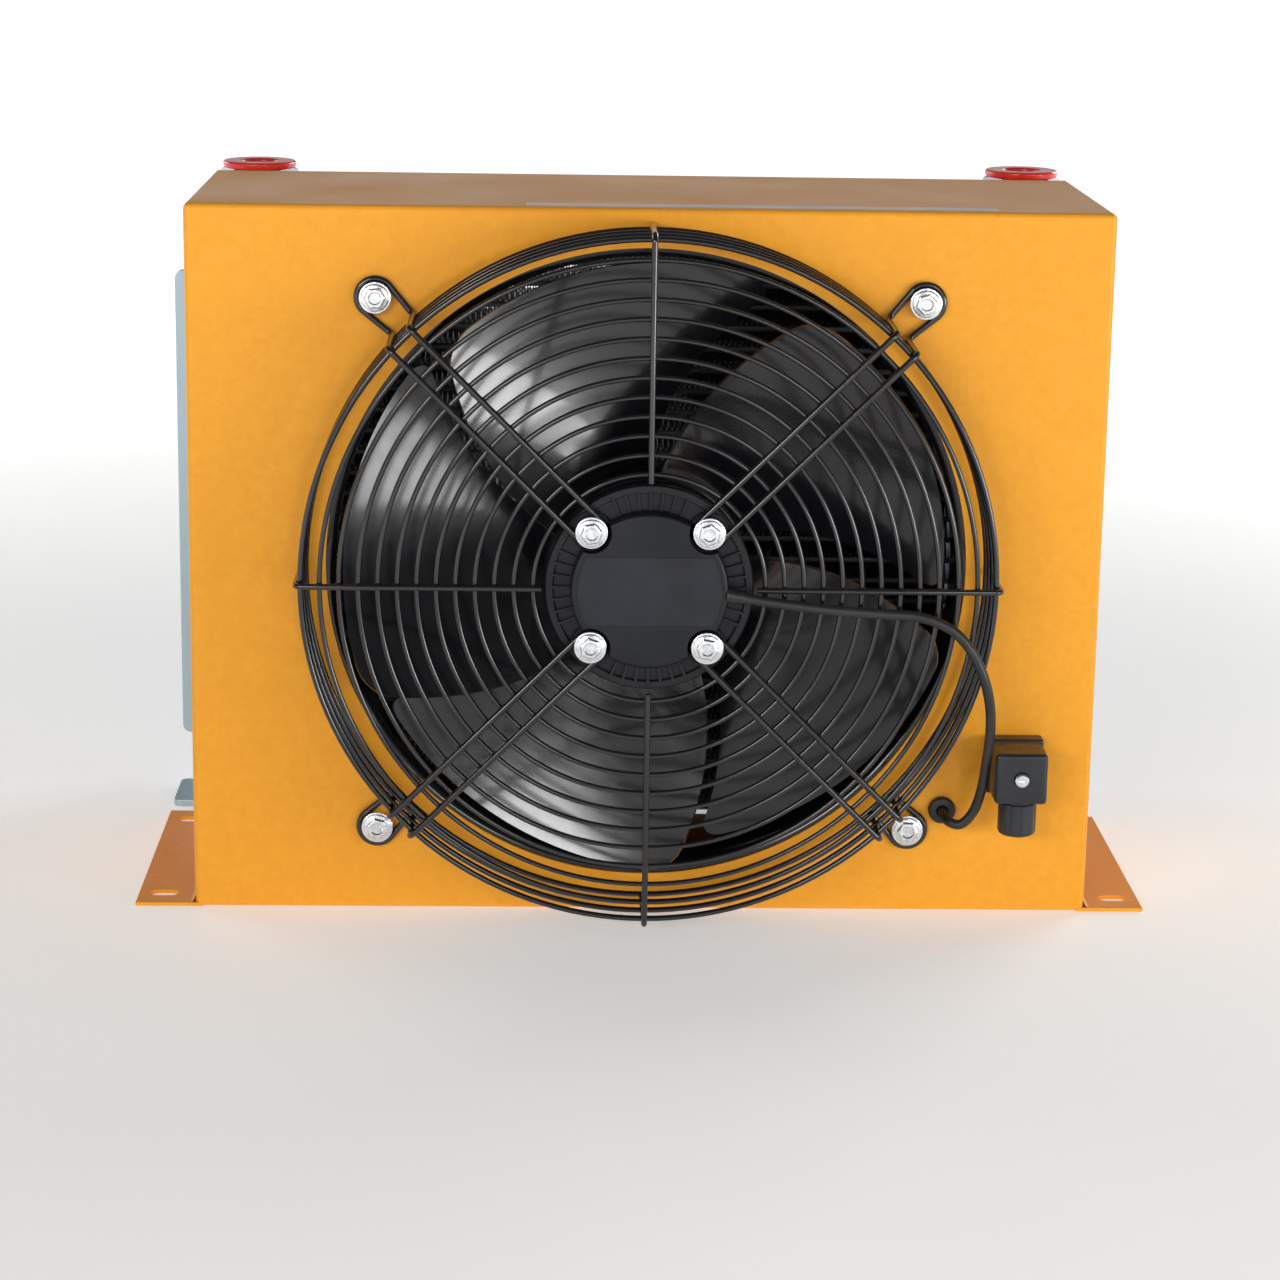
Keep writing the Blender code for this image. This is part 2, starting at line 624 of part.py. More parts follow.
# ---- electrical connection ------------------------------------------------------------
def connector(plastic, zinc):
    """Square base on the panel, and a plug with a cable gland that points down."""
    half = 0.014
    low, high = (CONNECTOR_X - half, CONNECTOR_Z - half), (CONNECTOR_X + half, CONNECTOR_Z + half)
    joint = 0.010
    centre = [(CONNECTOR_X, CONNECTOR_Z)]
    base = box("connector_base", (low[0], PANEL_Y - joint, low[1]),
               (high[0], PANEL_Y - GAP, high[1]), plastic)
    combine(base, rods("base_hole", centre, 0.0018, PANEL_Y - joint - CLEAR,
                       PANEL_Y - joint + 0.006, "Y", 12), "DIFFERENCE")
    front = PANEL_Y - 0.034
    trim = 0.001
    plug = box("connector_plug", (low[0] + trim, front, low[1] + trim),
               (high[0] - trim, PANEL_Y - joint - GAP, high[1] - trim), plastic)
    gland_y = PANEL_Y - 0.0222
    gland = rods("gland", [(CONNECTOR_X, gland_y)], 0.0095, low[1] - 0.017, low[1] + 2 * trim,
                 "Z", 20)
    entry = rods("gland_entry", [(CONNECTOR_X, gland_y)], 0.0045, low[1] - 0.017 - CLEAR,
                 low[1] + 0.004, "Z", 16)
    combine(plug, gland, "UNION")
    combine(plug, entry, "DIFFERENCE")
    combine(plug, rods("plug_hole", centre, 0.0018, front - CLEAR, PANEL_Y, "Y", 12), "DIFFERENCE")
    head, shank, reach = 0.0035, 0.0015, 0.028
    screw = turned("connector_screw", [(0, -reach), (shank, -reach), (shank, 0), (head, 0),
                                       (head, 0.002), (0, 0.002)], 12, zinc)
    screw.location = (CONNECTOR_X, front - GAP, CONNECTOR_Z)
    screw.rotation_euler = (math.pi / 2, 0, 0)


def lead_route():
    """The motor lead, as x, height above the fan's axis and distance before the panel."""
    x, z = GROMMET
    return [(0.0384, -0.002, 0.0503), (0.050, -0.004, 0.0503), (0.068, -0.0065, 0.0503),
            (0.090, -0.009, 0.0503), (0.112, -0.0105, 0.0503), (0.131, -0.012, 0.0503),
            (0.146, -0.018, 0.0503), (0.1565, -0.029, 0.0503), (0.1632, -0.043, 0.0500),
            (0.1670, -0.058, 0.0465), (0.1688, -0.074, 0.0375), (0.1690, -0.090, 0.0275),
            (0.1682, -0.106, 0.0205), (0.1650, -0.119, 0.0175), (0.1590, -0.1265, 0.0160),
            (x + 0.0022, z - 0.0025, 0.0130), (x, z, 0.0065), (x, z, 0.0005), (x, z, -0.0080)]


def motor_lead(rubber):
    """Lead from the motor, over the guard's face and down to the grommet."""
    route = [(x, z, h) for x, z, h in lead_route()]
    lead = wire_curve("motor_lead", flowing(route, 0.007), CABLE, False, 2)
    MODEL.objects.link(lead)
    lead.data.materials.append(rubber)
    fan_place(lead)


def grommet(rubber):
    """Rubber ring in the panel that the lead passes through."""
    bore, neck, lip = CABLE + GAP, 0.0049, 0.0068
    front, back = GAP, -SHEET - GAP
    profile = [(bore, front + 0.003), (lip - 0.001, front + 0.003), (lip, front + 0.002),
               (lip, front), (neck, front), (neck, back), (lip, back), (lip, back - 0.0015),
               (bore, back - 0.0015)]
    ring = turned("grommet", profile, 20, rubber)
    ring.location = (GROMMET[0], PANEL_Y, FAN_Z + GROMMET[1])
    ring.rotation_euler = (math.pi / 2, 0, 0)


# ---- assembly -------------------------------------------------------------------------
def main():
    clear_scene()
    paint = material("yellow_powder_coat", (0.85, 0.36, 0.03), 0.0, 0.35)
    alloy = material("aluminium", (0.62, 0.68, 0.75), 0.9, 0.38)
    fin = material("fin_aluminium", (0.12, 0.14, 0.16), 0.7, 0.5)
    red = material("red_plastic", (0.70, 0.03, 0.02), 0.0, 0.3)
    coat = material("black_coat", (0.01, 0.01, 0.012), 0.2, 0.25)
    cast = material("black_casting", (0.015, 0.015, 0.017), 0.4, 0.45)
    zinc = material("zinc", (0.75, 0.77, 0.78), 1.0, 0.3)
    steel = material("bearing_steel", (0.55, 0.56, 0.58), 1.0, 0.25)
    winding = material("wound_stator", (0.45, 0.20, 0.08), 0.6, 0.4)
    plastic = material("black_plastic", (0.012, 0.012, 0.013), 0.0, 0.4)
    rubber = material("black_rubber", (0.01, 0.01, 0.01), 0.0, 0.6)

    fan_shroud(paint)
    inlet_ring(coat)
    core_frame(alloy)
    fin_rows(fin)
    for side, name in ((-1, "left"), (1, "right")):
        tank(side, name, alloy)
        port(side, name, alloy)
        port_plug(side, name, red)
        bracket(side, name, alloy)
    rear_foot_bar(alloy)
    fan_guard(coat)
    bolts(zinc)
    motor_flange(cast)
    motor_inside(winding, steel)
    rotor_shell(cast)
    impeller(coat)
    connector(plastic, zinc)
    grommet(rubber)
    motor_lead(rubber)
    for obj in MODEL.objects:
        if obj.type == "MESH":
            smooth(obj)


main()
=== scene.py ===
"""Looks of the hydraulic oil cooler: fine pieces over the CAD frame, finishes, light and camera.

Metres, +Z up, in the frame of the CAD. The fan side faces -Y and the core side faces +Y.
"""
import json
from math import cos, floor, pi, radians, sin, sqrt, tan, tau

import bmesh
import bpy
import numpy as np
from mathutils import Matrix, Quaternion, Vector


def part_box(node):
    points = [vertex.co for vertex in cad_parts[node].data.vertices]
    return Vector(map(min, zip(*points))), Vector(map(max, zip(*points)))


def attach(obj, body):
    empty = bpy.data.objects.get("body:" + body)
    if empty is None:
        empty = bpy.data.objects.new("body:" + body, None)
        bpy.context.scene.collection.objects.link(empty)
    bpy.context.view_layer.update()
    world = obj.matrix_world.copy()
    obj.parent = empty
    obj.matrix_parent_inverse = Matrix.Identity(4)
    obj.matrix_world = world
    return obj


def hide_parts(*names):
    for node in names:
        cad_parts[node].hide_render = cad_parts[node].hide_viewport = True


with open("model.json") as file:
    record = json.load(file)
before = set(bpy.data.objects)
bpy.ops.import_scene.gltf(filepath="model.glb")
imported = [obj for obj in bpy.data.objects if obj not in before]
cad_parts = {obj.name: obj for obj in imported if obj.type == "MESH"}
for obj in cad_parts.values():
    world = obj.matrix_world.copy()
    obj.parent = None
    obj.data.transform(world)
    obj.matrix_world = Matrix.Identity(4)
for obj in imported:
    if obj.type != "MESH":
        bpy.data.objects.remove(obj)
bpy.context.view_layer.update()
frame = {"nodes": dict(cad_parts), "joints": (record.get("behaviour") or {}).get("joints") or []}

# ---- places taken from the frame ------------------------------------------------------
spin = next(joint for joint in frame["joints"] if joint["name"] == "fan_spin")
PANEL_Y, FAN_Z = spin["pos_m"][1], spin["pos_m"][2]
CORE_LOW, CORE_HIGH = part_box("core_frame")
SHROUD_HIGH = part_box("fan_shroud")[1]
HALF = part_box("tank_right")[1].x
TOP = SHROUD_HIGH.z
QUARTER = pi / 2
FORWARDS = Matrix.Rotation(QUARTER, 4, "X")     # turns local Z out of the panel
FAN = Matrix.Translation((0, PANEL_Y, FAN_Z)) @ FORWARDS
GAP = 0.0003              # between neighbouring CAD solids
SHROUD_BACK = CORE_LOW.y - GAP
SHEET = 0.002
OPENING, DUCT = 0.1585, 0.154
LIP_START = 0.008         # where the folded lip takes over from the top sheet
FIN_ROWS = [f"fin_row_{i + 1:02d}" for i in range(27)]
SIDES = (("left", -1), ("right", 1))
CORNERS = (("top_left", -1, 1), ("top_right", 1, 1), ("bottom_left", -1, -1),
           ("bottom_right", 1, -1))


def add_object(name, data):
    made = bpy.data.objects.new(name, data)
    bpy.context.scene.collection.objects.link(made)
    return made


# ---- camera ---------------------------------------------------------------------------
def set_camera():
    """Long lens at the photograph's distance, left of the middle and above, rolled a little."""
    data = bpy.data.cameras.new("camera")
    data.sensor_width, data.lens = 36, 92
    data.clip_start, data.clip_end = 0.05, 200
    camera = add_object("camera", data)
    camera.location = (-0.051, PANEL_Y - 1.580, 0.5316)
    aim = Vector((-0.001, -0.04, 0.1265))
    level = (aim - camera.location).to_track_quat("-Z", "Y")
    roll = Quaternion((0, 0, 1), radians(0.9))
    camera.rotation_euler = (level @ roll).to_euler()
    bpy.context.scene.camera = camera


set_camera()


# ---- shapes: lists of vertices and faces ----------------------------------------------
class Shape:
    """Vertices and faces gathered before they become one mesh."""

    def __init__(self):
        self.verts = []
        self.faces = []

    def join(self, other, place=None):
        start = len(self.verts)
        verts = other.verts if place is None else [place @ Vector(v) for v in other.verts]
        self.verts += [tuple(v) for v in verts]
        self.faces += [tuple(start + i for i in face) for face in other.faces]
        return self

    def moved(self, place):
        return Shape().join(self, place)


def arc(x, y, radius, start, sweep, steps):
    """Points round (x, y); the start and the sweep are in quarter turns."""
    angles = [QUARTER * (start + sweep * i / steps) for i in range(steps + 1)]
    return [(x + radius * cos(angle), y + radius * sin(angle)) for angle in angles]


def circle(x, y, radius, count):
    return arc(x, y, radius, 0, 4, count)[:-1]


def turned(profile, segments):
    """Turn a (radius, height) profile about local Z; it closes unless it starts on the axis."""
    shape = Shape()
    rings = []
    for radius, height in profile:
        start = len(shape.verts)
        if radius == 0:
            shape.verts.append((0, 0, height))
            rings.append([start] * segments)
        else:
            shape.verts += [(x, y, height) for x, y in circle(0, 0, radius, segments)]
            rings.append(list(range(start, start + segments)))
    pairs = list(zip(rings, rings[1:]))
    if profile[0][0] > 0:
        pairs.append((rings[-1], rings[0]))
    for low, high in pairs:
        for i in range(segments):
            j = (i + 1) % segments
            face = list(dict.fromkeys((low[i], low[j], high[j], high[i])))
            if len(face) > 2:
                shape.faces.append(tuple(face))
    return shape


def cylinder(radius, low, high, segments=48):
    return turned([(0, low), (radius, low), (radius, high), (0, high)], segments)


def swept(points, radius, sides, closed=False):
    """A round wire along the points; the radius is one number or one for each point."""
    points = [Vector(p) for p in points]
    count = len(points)
    shape = Shape()
    rings = []
    normal = None
    for i, point in enumerate(points):
        if closed:
            along = points[(i + 1) % count] - points[i - 1]
        else:
            along = points[min(i + 1, count - 1)] - points[max(i - 1, 0)]
        along.normalize()
        if normal is None:
            normal = along.orthogonal()
        normal = (normal - along * normal.dot(along)).normalized()
        side = along.cross(normal)
        size = radius[i] if isinstance(radius, list) else radius
        start = len(shape.verts)
        shape.verts += [tuple(point + normal * u + side * v) for u, v in circle(0, 0, size, sides)]
        rings.append(list(range(start, start + sides)))
    pairs = list(zip(rings, rings[1:]))
    if closed:
        first, last = rings[0], rings[-1]
        gaps = [(Vector(shape.verts[last[0]]) - Vector(shape.verts[first[k]])).length
                for k in range(sides)]
        shift = gaps.index(min(gaps))
        pairs.append((last, first[shift:] + first[:shift]))
    for low, high in pairs:
        for k in range(sides):
            j = (k + 1) % sides
            shape.faces.append((low[k], low[j], high[j], high[k]))
    if not closed:
        shape.faces.append(tuple(reversed(rings[0])))
        shape.faces.append(tuple(rings[-1]))
    return shape


def extruded(outline, low, high):
    """A flat outline in XY carried up from low to high."""
    count = len(outline)
    shape = Shape()
    shape.verts = [(x, y, low) for x, y in outline] + [(x, y, high) for x, y in outline]
    shape.faces = [(i, (i + 1) % count, count + (i + 1) % count, count + i) for i in range(count)]
    shape.faces.append(tuple(reversed(range(count))))
    shape.faces.append(tuple(range(count, 2 * count)))
    return shape


def block(low, high):
    """A box between two corners, ready for its edges to be rounded."""
    (x0, y0, z0), (x1, y1, z1) = low, high
    return extruded([(x0, y0), (x1, y0), (x1, y1), (x0, y1)], z0, z1)


def sheet_grid(rows):
    """A surface through rows of points."""
    shape = Shape()
    width = len(rows[0])
    shape.verts = [tuple(point) for row in rows for point in row]
    for start in range(0, width * (len(rows) - 1), width):
        for i in range(start, start + width - 1):
            shape.faces.append((i, i + 1, i + width + 1, i + width))
    return shape


def rounded_path(points, radius, steps):
    """Replace each inner corner of an open polyline by an arc."""
    points = [Vector(p) for p in points]
    out = [points[0]]
    for before, corner, after in zip(points, points[1:], points[2:]):
        a = (before - corner).normalized()
        b = (after - corner).normalized()
        half = a.angle(b) / 2
        reach = radius / tan(half)
        middle = corner + (a + b).normalized() * (radius / sin(half))
        start = (corner + a * reach - middle).normalized()
        stop = (corner + b * reach - middle).normalized()
        out += [middle + start.slerp(stop, i / steps) * radius for i in range(steps + 1)]
    return out + [points[-1]]


def flowing(points, spacing):
    """Points on a smooth curve through the given ones."""
    points = [Vector(p) for p in points]
    ends = [2 * points[0] - points[1]] + points + [2 * points[-1] - points[-2]]
    out = []
    for p0, p1, p2, p3 in zip(ends, ends[1:], ends[2:], ends[3:]):
        steps = max(1, round((p2 - p1).length / spacing))
        for i in range(steps):
            t = i / steps
            out.append(0.5 * (2 * p1 + (p2 - p0) * t + (2 * p0 - 5 * p1 + 4 * p2 - p3) * t * t
                              + (3 * p1 - p0 - 3 * p2 + p3) * t ** 3))
    out.append(points[-1])
    return out


def weld_bead(path, across, out, width, height, pitch, slant=0.5):
    """A bead of overlapping weld scales along a path, domed from its middle to its edges.

    across and out are directions, or functions that give them at a point of the path.
    """
    path = [Vector(p) for p in path]
    lengths = [0.0]
    for a, b in zip(path, path[1:]):
        lengths.append(lengths[-1] + (b - a).length)
    total = lengths[-1]
    step, columns = 0.0006, 10
    count = int(total / step)
    rows = []
    place = 0
    for i in range(count + 1):
        s = total * i / count
        while place < len(lengths) - 2 and lengths[place + 1] < s:
            place += 1
        t = (s - lengths[place]) / (lengths[place + 1] - lengths[place])
        middle = path[place].lerp(path[place + 1], min(max(t, 0), 1))
        side = across(middle) if callable(across) else Vector(across)
        up = out(middle) if callable(out) else Vector(out)
        ends = min(1.0, 8 * min(s, total - s) / width + 0.12)
        row = []
        for c in range(columns + 1):
            u = 2 * c / columns - 1
            phase = s / pitch + slant * (1 - u * u) + 0.15 * sin(s * 900)
            scale = 0.72 + 0.28 * (phase - floor(phase))
            wander = 1 + 0.10 * sin(s * 2100) + 0.06 * sin(s * 5300 + 1)
            dome = sqrt(max(0.0, 1 - u * u))
            row.append(middle + side * (u * width / 2 * wander * sqrt(ends))
                       + up * (height * (dome * scale * ends - 0.12)))
        rows.append(row)
    return sheet_grid(rows)


# ---- meshes and pieces ----------------------------------------------------------------
def to_bmesh(shape, rounding=None, segments=3, angle=40):
    """Shape to bmesh, with its sharp edges rounded when a width is given."""
    bm = bmesh.new()
    made = [bm.verts.new(v) for v in shape.verts]
    for face in shape.faces:
        bm.faces.new([made[i] for i in face])
    bmesh.ops.recalc_face_normals(bm, faces=bm.faces)
    if rounding:
        sharp = [e for e in bm.edges if len(e.link_faces) == 2
                 and e.calc_face_angle(0) > radians(angle)]
        bmesh.ops.bevel(bm, geom=sharp, offset=rounding, segments=segments, profile=0.5,
                        affect="EDGES", clamp_overlap=True)
    return bm


def to_mesh(bm, name="mesh"):
    mesh = bpy.data.meshes.new(name)
    bm.to_mesh(mesh)
    bm.free()
    return mesh


def solid(shape, rounding=None, segments=3, angle=40):
    return to_mesh(to_bmesh(shape, rounding, segments, angle))


def evaluated(mesh, steps):
    """Run modifiers on a mesh and return the result; steps is a list of (kind, settings)."""
    obj = add_object("working", mesh)
    used = [obj]
    for kind, settings in steps:
        step = obj.modifiers.new(kind, kind)
        for key, value in settings.items():
            if key == "cutter":
                used.append(add_object("cutter", value))
                step.object, step.solver = used[-1], "EXACT"
            else:
                setattr(step, key, value)
    depsgraph = bpy.context.evaluated_depsgraph_get()
    made = bpy.data.meshes.new_from_object(obj.evaluated_get(depsgraph))
    for each in used:
        bpy.data.objects.remove(each, do_unlink=True)
    return made


def thickened(mesh, thickness, offset=0.0, even=False):
    return evaluated(mesh, [("SOLIDIFY", {"thickness": thickness, "offset": offset,
                                          "use_even_offset": even})])


def cut(mesh, cutters):
    return evaluated(mesh, [("BOOLEAN", {"operation": "DIFFERENCE", "cutter": cutter})
                            for cutter in cutters])


def hole(x, y, z, radius, length, axis, segments=48):
    """A cutter cylinder centred on a point."""
    turn = FORWARDS if axis == "Y" else Matrix.Identity(4)
    place = Matrix.Translation((x, y, z)) @ turn
    return solid(cylinder(radius, -length / 2, length / 2, segments).moved(place))


def piece(name, parts, finish, nodes=(), body="frame", sharp=38, weighted=True):
    """Join parts into one object that rides on a body and stands for CAD nodes."""
    bm = bmesh.new()
    for part in parts:
        mesh = solid(part) if isinstance(part, Shape) else part
        bm.from_mesh(mesh)
        bpy.data.meshes.remove(mesh)
    mesh = to_mesh(bm, name)
    mesh.shade_smooth()
    mesh.set_sharp_from_angle(angle=radians(sharp))
    mesh.materials.append(finish)
    obj = add_object(name, mesh)
    if weighted:
        step = obj.modifiers.new("flat_faces", "WEIGHTED_NORMAL")
        step.keep_sharp = True
        step.weight = 80
    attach(obj, body)
    if nodes:
        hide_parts(*nodes)


# ---- finishes -------------------------------------------------------------------------
class Finish:
    """A procedural surface: colour, roughness and bump that vary over the object."""

    def __init__(self, name, metallic=0.0, coat=0.0, coat_rough=0.1, specular=0.5):
        self.made = bpy.data.materials.new(name)
        self.made.use_nodes = True
        self.tree = self.made.node_tree
        self.shader = self.tree.nodes["Principled BSDF"]
        self.set("Metallic", metallic)
        self.set("Coat Weight", coat)
        self.set("Coat Roughness", coat_rough)
        self.set("Specular IOR Level", specular)
        self.place = self.tree.nodes.new("ShaderNodeTexCoord")

    def set(self, socket, value):
        self.shader.inputs[socket].default_value = value

    def link(self, a, b):
        self.tree.links.new(a, b)

    def noise(self, scale, detail, stretch=(1, 1, 1)):
        spread = self.tree.nodes.new("ShaderNodeMapping")
        spread.inputs["Scale"].default_value = stretch
        self.link(self.place.outputs["Object"], spread.inputs["Vector"])
        made = self.tree.nodes.new("ShaderNodeTexNoise")
        made.inputs["Scale"].default_value = scale
        made.inputs["Detail"].default_value = detail
        made.inputs["Roughness"].default_value = 0.55
        self.link(spread.outputs["Vector"], made.inputs["Vector"])
        return made.outputs["Fac"]

    def colour(self, low, high, fac, start=0.35, stop=0.65):
        ramp = self.tree.nodes.new("ShaderNodeValToRGB")
        for element, at, tone in zip(ramp.color_ramp.elements, (start, stop), (low, high)):
            element.position, element.color = at, (*tone, 1)
        self.link(fac, ramp.inputs["Fac"])
        return ramp.outputs["Color"]

    def blend(self, a, b, fac):
        mix = self.tree.nodes.new("ShaderNodeMix")
        mix.data_type = "RGBA"
        self.link(fac, mix.inputs["Factor"])
        self.link(a, mix.inputs["A"])
        self.link(b, mix.inputs["B"])
        return mix.outputs["Result"]

    def mapped(self, value, from_low, from_high, to_low=0.0, to_high=1.0, kind="LINEAR"):
        """A value carried from one range to another."""
        spread = self.tree.nodes.new("ShaderNodeMapRange")
        spread.interpolation_type = kind
        for socket, number in (("From Min", from_low), ("From Max", from_high),
                               ("To Min", to_low), ("To Max", to_high)):
            spread.inputs[socket].default_value = number
        self.link(value, spread.inputs["Value"])
        return spread.outputs["Result"]

    def depth(self, low, high):
        """0 where y is low, 1 where it is high."""
        split = self.tree.nodes.new("ShaderNodeSeparateXYZ")
        self.link(self.place.outputs["Object"], split.inputs["Vector"])
        return self.mapped(split.outputs["Y"], low, high)

    def base(self, colour):
        self.link(colour, self.shader.inputs["Base Color"])

    def rough(self, low, high, fac):
        self.link(self.mapped(fac, 0.3, 0.7, low, high), self.shader.inputs["Roughness"])

    def bump(self, fac, distance, strength=0.5):
        made = self.tree.nodes.new("ShaderNodeBump")
        made.inputs["Distance"].default_value = distance
        made.inputs["Strength"].default_value = strength
        self.link(fac, made.inputs["Height"])
        self.link(made.outputs["Normal"], self.shader.inputs["Normal"])


def even_finish(name, low, high, roughs, noises, depth, strength=0.5, **kind):
    """Tone and roughness between two limits, and a bump; noises has one entry for each."""
    made = Finish(name, **kind)
    tone_noise, rough_noise, bump_noise = noises
    made.base(made.colour(low, high, made.noise(*tone_noise)))
    made.rough(*roughs, made.noise(*rough_noise))
    made.bump(made.noise(*bump_noise), depth, strength)
    return made.made


def powder_coat():
    made = Finish("yellow_powder_coat", coat=0.10, coat_rough=0.20, specular=0.18)
    tone = made.colour((0.810, 0.330, 0.022), (0.880, 0.375, 0.027), made.noise(4, 3))
    speck = made.colour((0.80, 0.325, 0.022), (0.89, 0.385, 0.030), made.noise(240, 2), 0.3, 0.7)
    made.base(made.blend(tone, speck, made.noise(30, 2)))
    made.rough(0.30, 0.42, made.noise(14, 4))
    made.bump(made.noise(700, 2), 0.00006, 0.35)
    return made.made


def brazed_aluminium():
    made = Finish("brazed_aluminium", metallic=0.70)
    tone = made.colour((0.40, 0.475, 0.58), (0.47, 0.545, 0.65), made.noise(9, 3))
    grain = made.colour((0.41, 0.485, 0.585), (0.48, 0.555, 0.655),
                        made.noise(90, 4, (1, 1, 4)), 0.3, 0.7)
    made.base(made.blend(tone, grain, made.noise(60, 3)))
    made.rough(0.36, 0.46, made.noise(60, 4))
    made.bump(made.noise(420, 4, (1, 1, 3)), 0.00004, 0.4)
    return made.made


def rolled_aluminium():
    made = Finish("rolled_aluminium", metallic=0.65)
    tone = made.colour((0.40, 0.52, 0.58), (0.45, 0.57, 0.63), made.noise(8, 3))
    lines = made.colour((0.41, 0.53, 0.59), (0.46, 0.58, 0.64),
                        made.noise(150, 3, (1, 1, 0.06)), 0.3, 0.7)
    made.base(made.blend(tone, lines, made.noise(30, 3)))
    made.rough(0.40, 0.50, made.noise(70, 4, (1, 1, 0.3)))
    made.bump(made.noise(900, 3, (1, 1, 0.04)), 0.00002, 0.4)
    return made.made


def fin_aluminium():
    made = Finish("fin_aluminium", metallic=0.45)
    # Painted shade: the fins fade to near black towards the fan side of the core, standing in for
    # the shade inside the shroud. They keep their own grey towards the core's back face.
    painted_shade_tone = made.colour((0.020, 0.022, 0.024), (0.045, 0.048, 0.052), made.noise(70, 4))
    unshaded_tone = made.colour((0.20, 0.26, 0.31), (0.34, 0.42, 0.48), made.noise(90, 4))
    made.base(made.blend(painted_shade_tone, unshaded_tone, made.depth(CORE_LOW.y + 0.020, CORE_HIGH.y - 0.004)))
    made.rough(0.38, 0.56, made.noise(300, 3))
    made.bump(made.noise(900, 2), 0.00005, 0.4)
    return made.made


def bar_aluminium():
    made = Finish("bar_aluminium", metallic=0.55)
    # Painted shade: the bars darken at their fan-side ends, standing in for the shade inside the
    # shroud. Their own bright tone starts about 30 mm into the core.
    painted_shade_tone = made.colour((0.10, 0.11, 0.12), (0.22, 0.23, 0.24), made.noise(24, 4, (0.3, 1, 1)))
    unshaded_tone = made.colour((0.74, 0.79, 0.84), (0.86, 0.90, 0.94), made.noise(60, 4, (0.3, 1, 1)))
    made.base(made.blend(painted_shade_tone, unshaded_tone, made.depth(CORE_LOW.y + 0.004, CORE_LOW.y + 0.030)))
    made.rough(0.24, 0.38, made.noise(200, 4, (0.15, 1, 1)))
    made.bump(made.noise(600, 3, (0.2, 1, 1)), 0.00006, 0.4)
    return made.made


def red_plastic():
    made = Finish("red_plastic", coat=0.15, coat_rough=0.12)
    made.base(made.colour((0.62, 0.018, 0.014), (0.78, 0.030, 0.022), made.noise(60, 3)))
    made.set("Subsurface Weight", 0.04)
    made.set("Subsurface Radius", (0.004, 0.001, 0.001))
    made.rough(0.22, 0.34, made.noise(150, 4))
    made.bump(made.noise(800, 2), 0.00004, 0.3)
    return made.made


def black_coat(name, low, high, roughs, pore, depth, coat=0.0, specular=0.5):
    return even_finish(name, low, high, roughs, ((45, 4), (120, 4), (pore, 3)), depth,
                       coat=coat, coat_rough=0.08, specular=specular)


PAINT = powder_coat()
ALLOY = brazed_aluminium()
ROLLED = rolled_aluminium()
FIN = fin_aluminium()
BAR = bar_aluminium()
WELD = even_finish("weld_metal", (0.48, 0.55, 0.65), (0.62, 0.69, 0.78), (0.26, 0.40),
                   ((160, 4), (300, 3), (1100, 3)), 0.00004, metallic=0.80)
RED = red_plastic()
GUARD_COAT = black_coat("guard_coat", (0.004, 0.004, 0.005), (0.008, 0.008, 0.009),
                        (0.12, 0.20), 500, 0.00002, coat=0.5)
CASTING = black_coat("black_casting", (0.006, 0.007, 0.009), (0.012, 0.013, 0.016),
                     (0.36, 0.50), 380, 0.00012, specular=0.28)
BLADE_GLOSS = black_coat("blade_gloss", (0.004, 0.004, 0.006), (0.007, 0.007, 0.010),
                         (0.14, 0.20), 300, 0.000015, coat=0.6)
LABEL_FILM = black_coat("label_film", (0.010, 0.011, 0.016), (0.016, 0.018, 0.025),
                        (0.26, 0.36), 700, 0.00004, specular=0.35)
PLASTIC = black_coat("connector_plastic", (0.010, 0.012, 0.017), (0.020, 0.023, 0.031),
                     (0.26, 0.40), 900, 0.00006)
RUBBER = black_coat("black_rubber", (0.009, 0.009, 0.009), (0.018, 0.018, 0.018),
                    (0.36, 0.52), 1100, 0.00008)
ZINC = even_finish("zinc_plate", (0.66, 0.68, 0.70), (0.88, 0.90, 0.92), (0.16, 0.34),
                   ((500, 4), (900, 3), (1600, 3)), 0.00006, metallic=1.0)
BEARING = even_finish("bearing_steel", (0.46, 0.47, 0.49), (0.62, 0.63, 0.65), (0.16, 0.30),
                      ((180, 4), (260, 4), (1300, 3)), 0.00005, metallic=1.0)
WINDING = even_finish("wound_copper", (0.30, 0.11, 0.045), (0.58, 0.27, 0.12), (0.25, 0.50),
                      ((240, 3, (1, 6, 1)), (500, 3), (900, 2, (1, 5, 1))), 0.00020, 0.7,
                      metallic=0.7)
# Pale beige finish for the thin strip on the shroud's top face.
PALE_STRIP_FINISH = even_finish("pale_strip_finish", (0.60, 0.52, 0.42), (0.68, 0.60, 0.50), (0.28, 0.38),
                    ((30, 3), (90, 3), (600, 2)), 0.00003, 0.3, coat=0.1, coat_rough=0.2)


# ---- shroud ---------------------------------------------------------------------------
def shroud_skin():
    """Folded sheet box with rounded folds, open at the back, and the fan's opening."""
    bm = to_bmesh(block((-HALF, PANEL_Y, 0), (HALF, SHROUD_BACK, TOP)))
    back = [f for f in bm.faces if f.calc_center_median().y > SHROUD_BACK - 0.001]
    bmesh.ops.delete(bm, geom=back, context="FACES")
    folds = [e for e in bm.edges if len(e.link_faces) == 2]
    bmesh.ops.bevel(bm, geom=folds, offset=0.0028, segments=4, profile=0.5, affect="EDGES")
    skin = thickened(to_mesh(bm), SHEET, -1.0, True)
    edge = solid(block((-HALF + SHEET, SHROUD_BACK - LIP_START, TOP - 0.006),
                       (HALF - SHEET, SHROUD_BACK + 0.01, TOP + 0.006)))
    return cut(skin, [hole(0, PANEL_Y, FAN_Z, OPENING, 0.02, "Y", 192), edge])


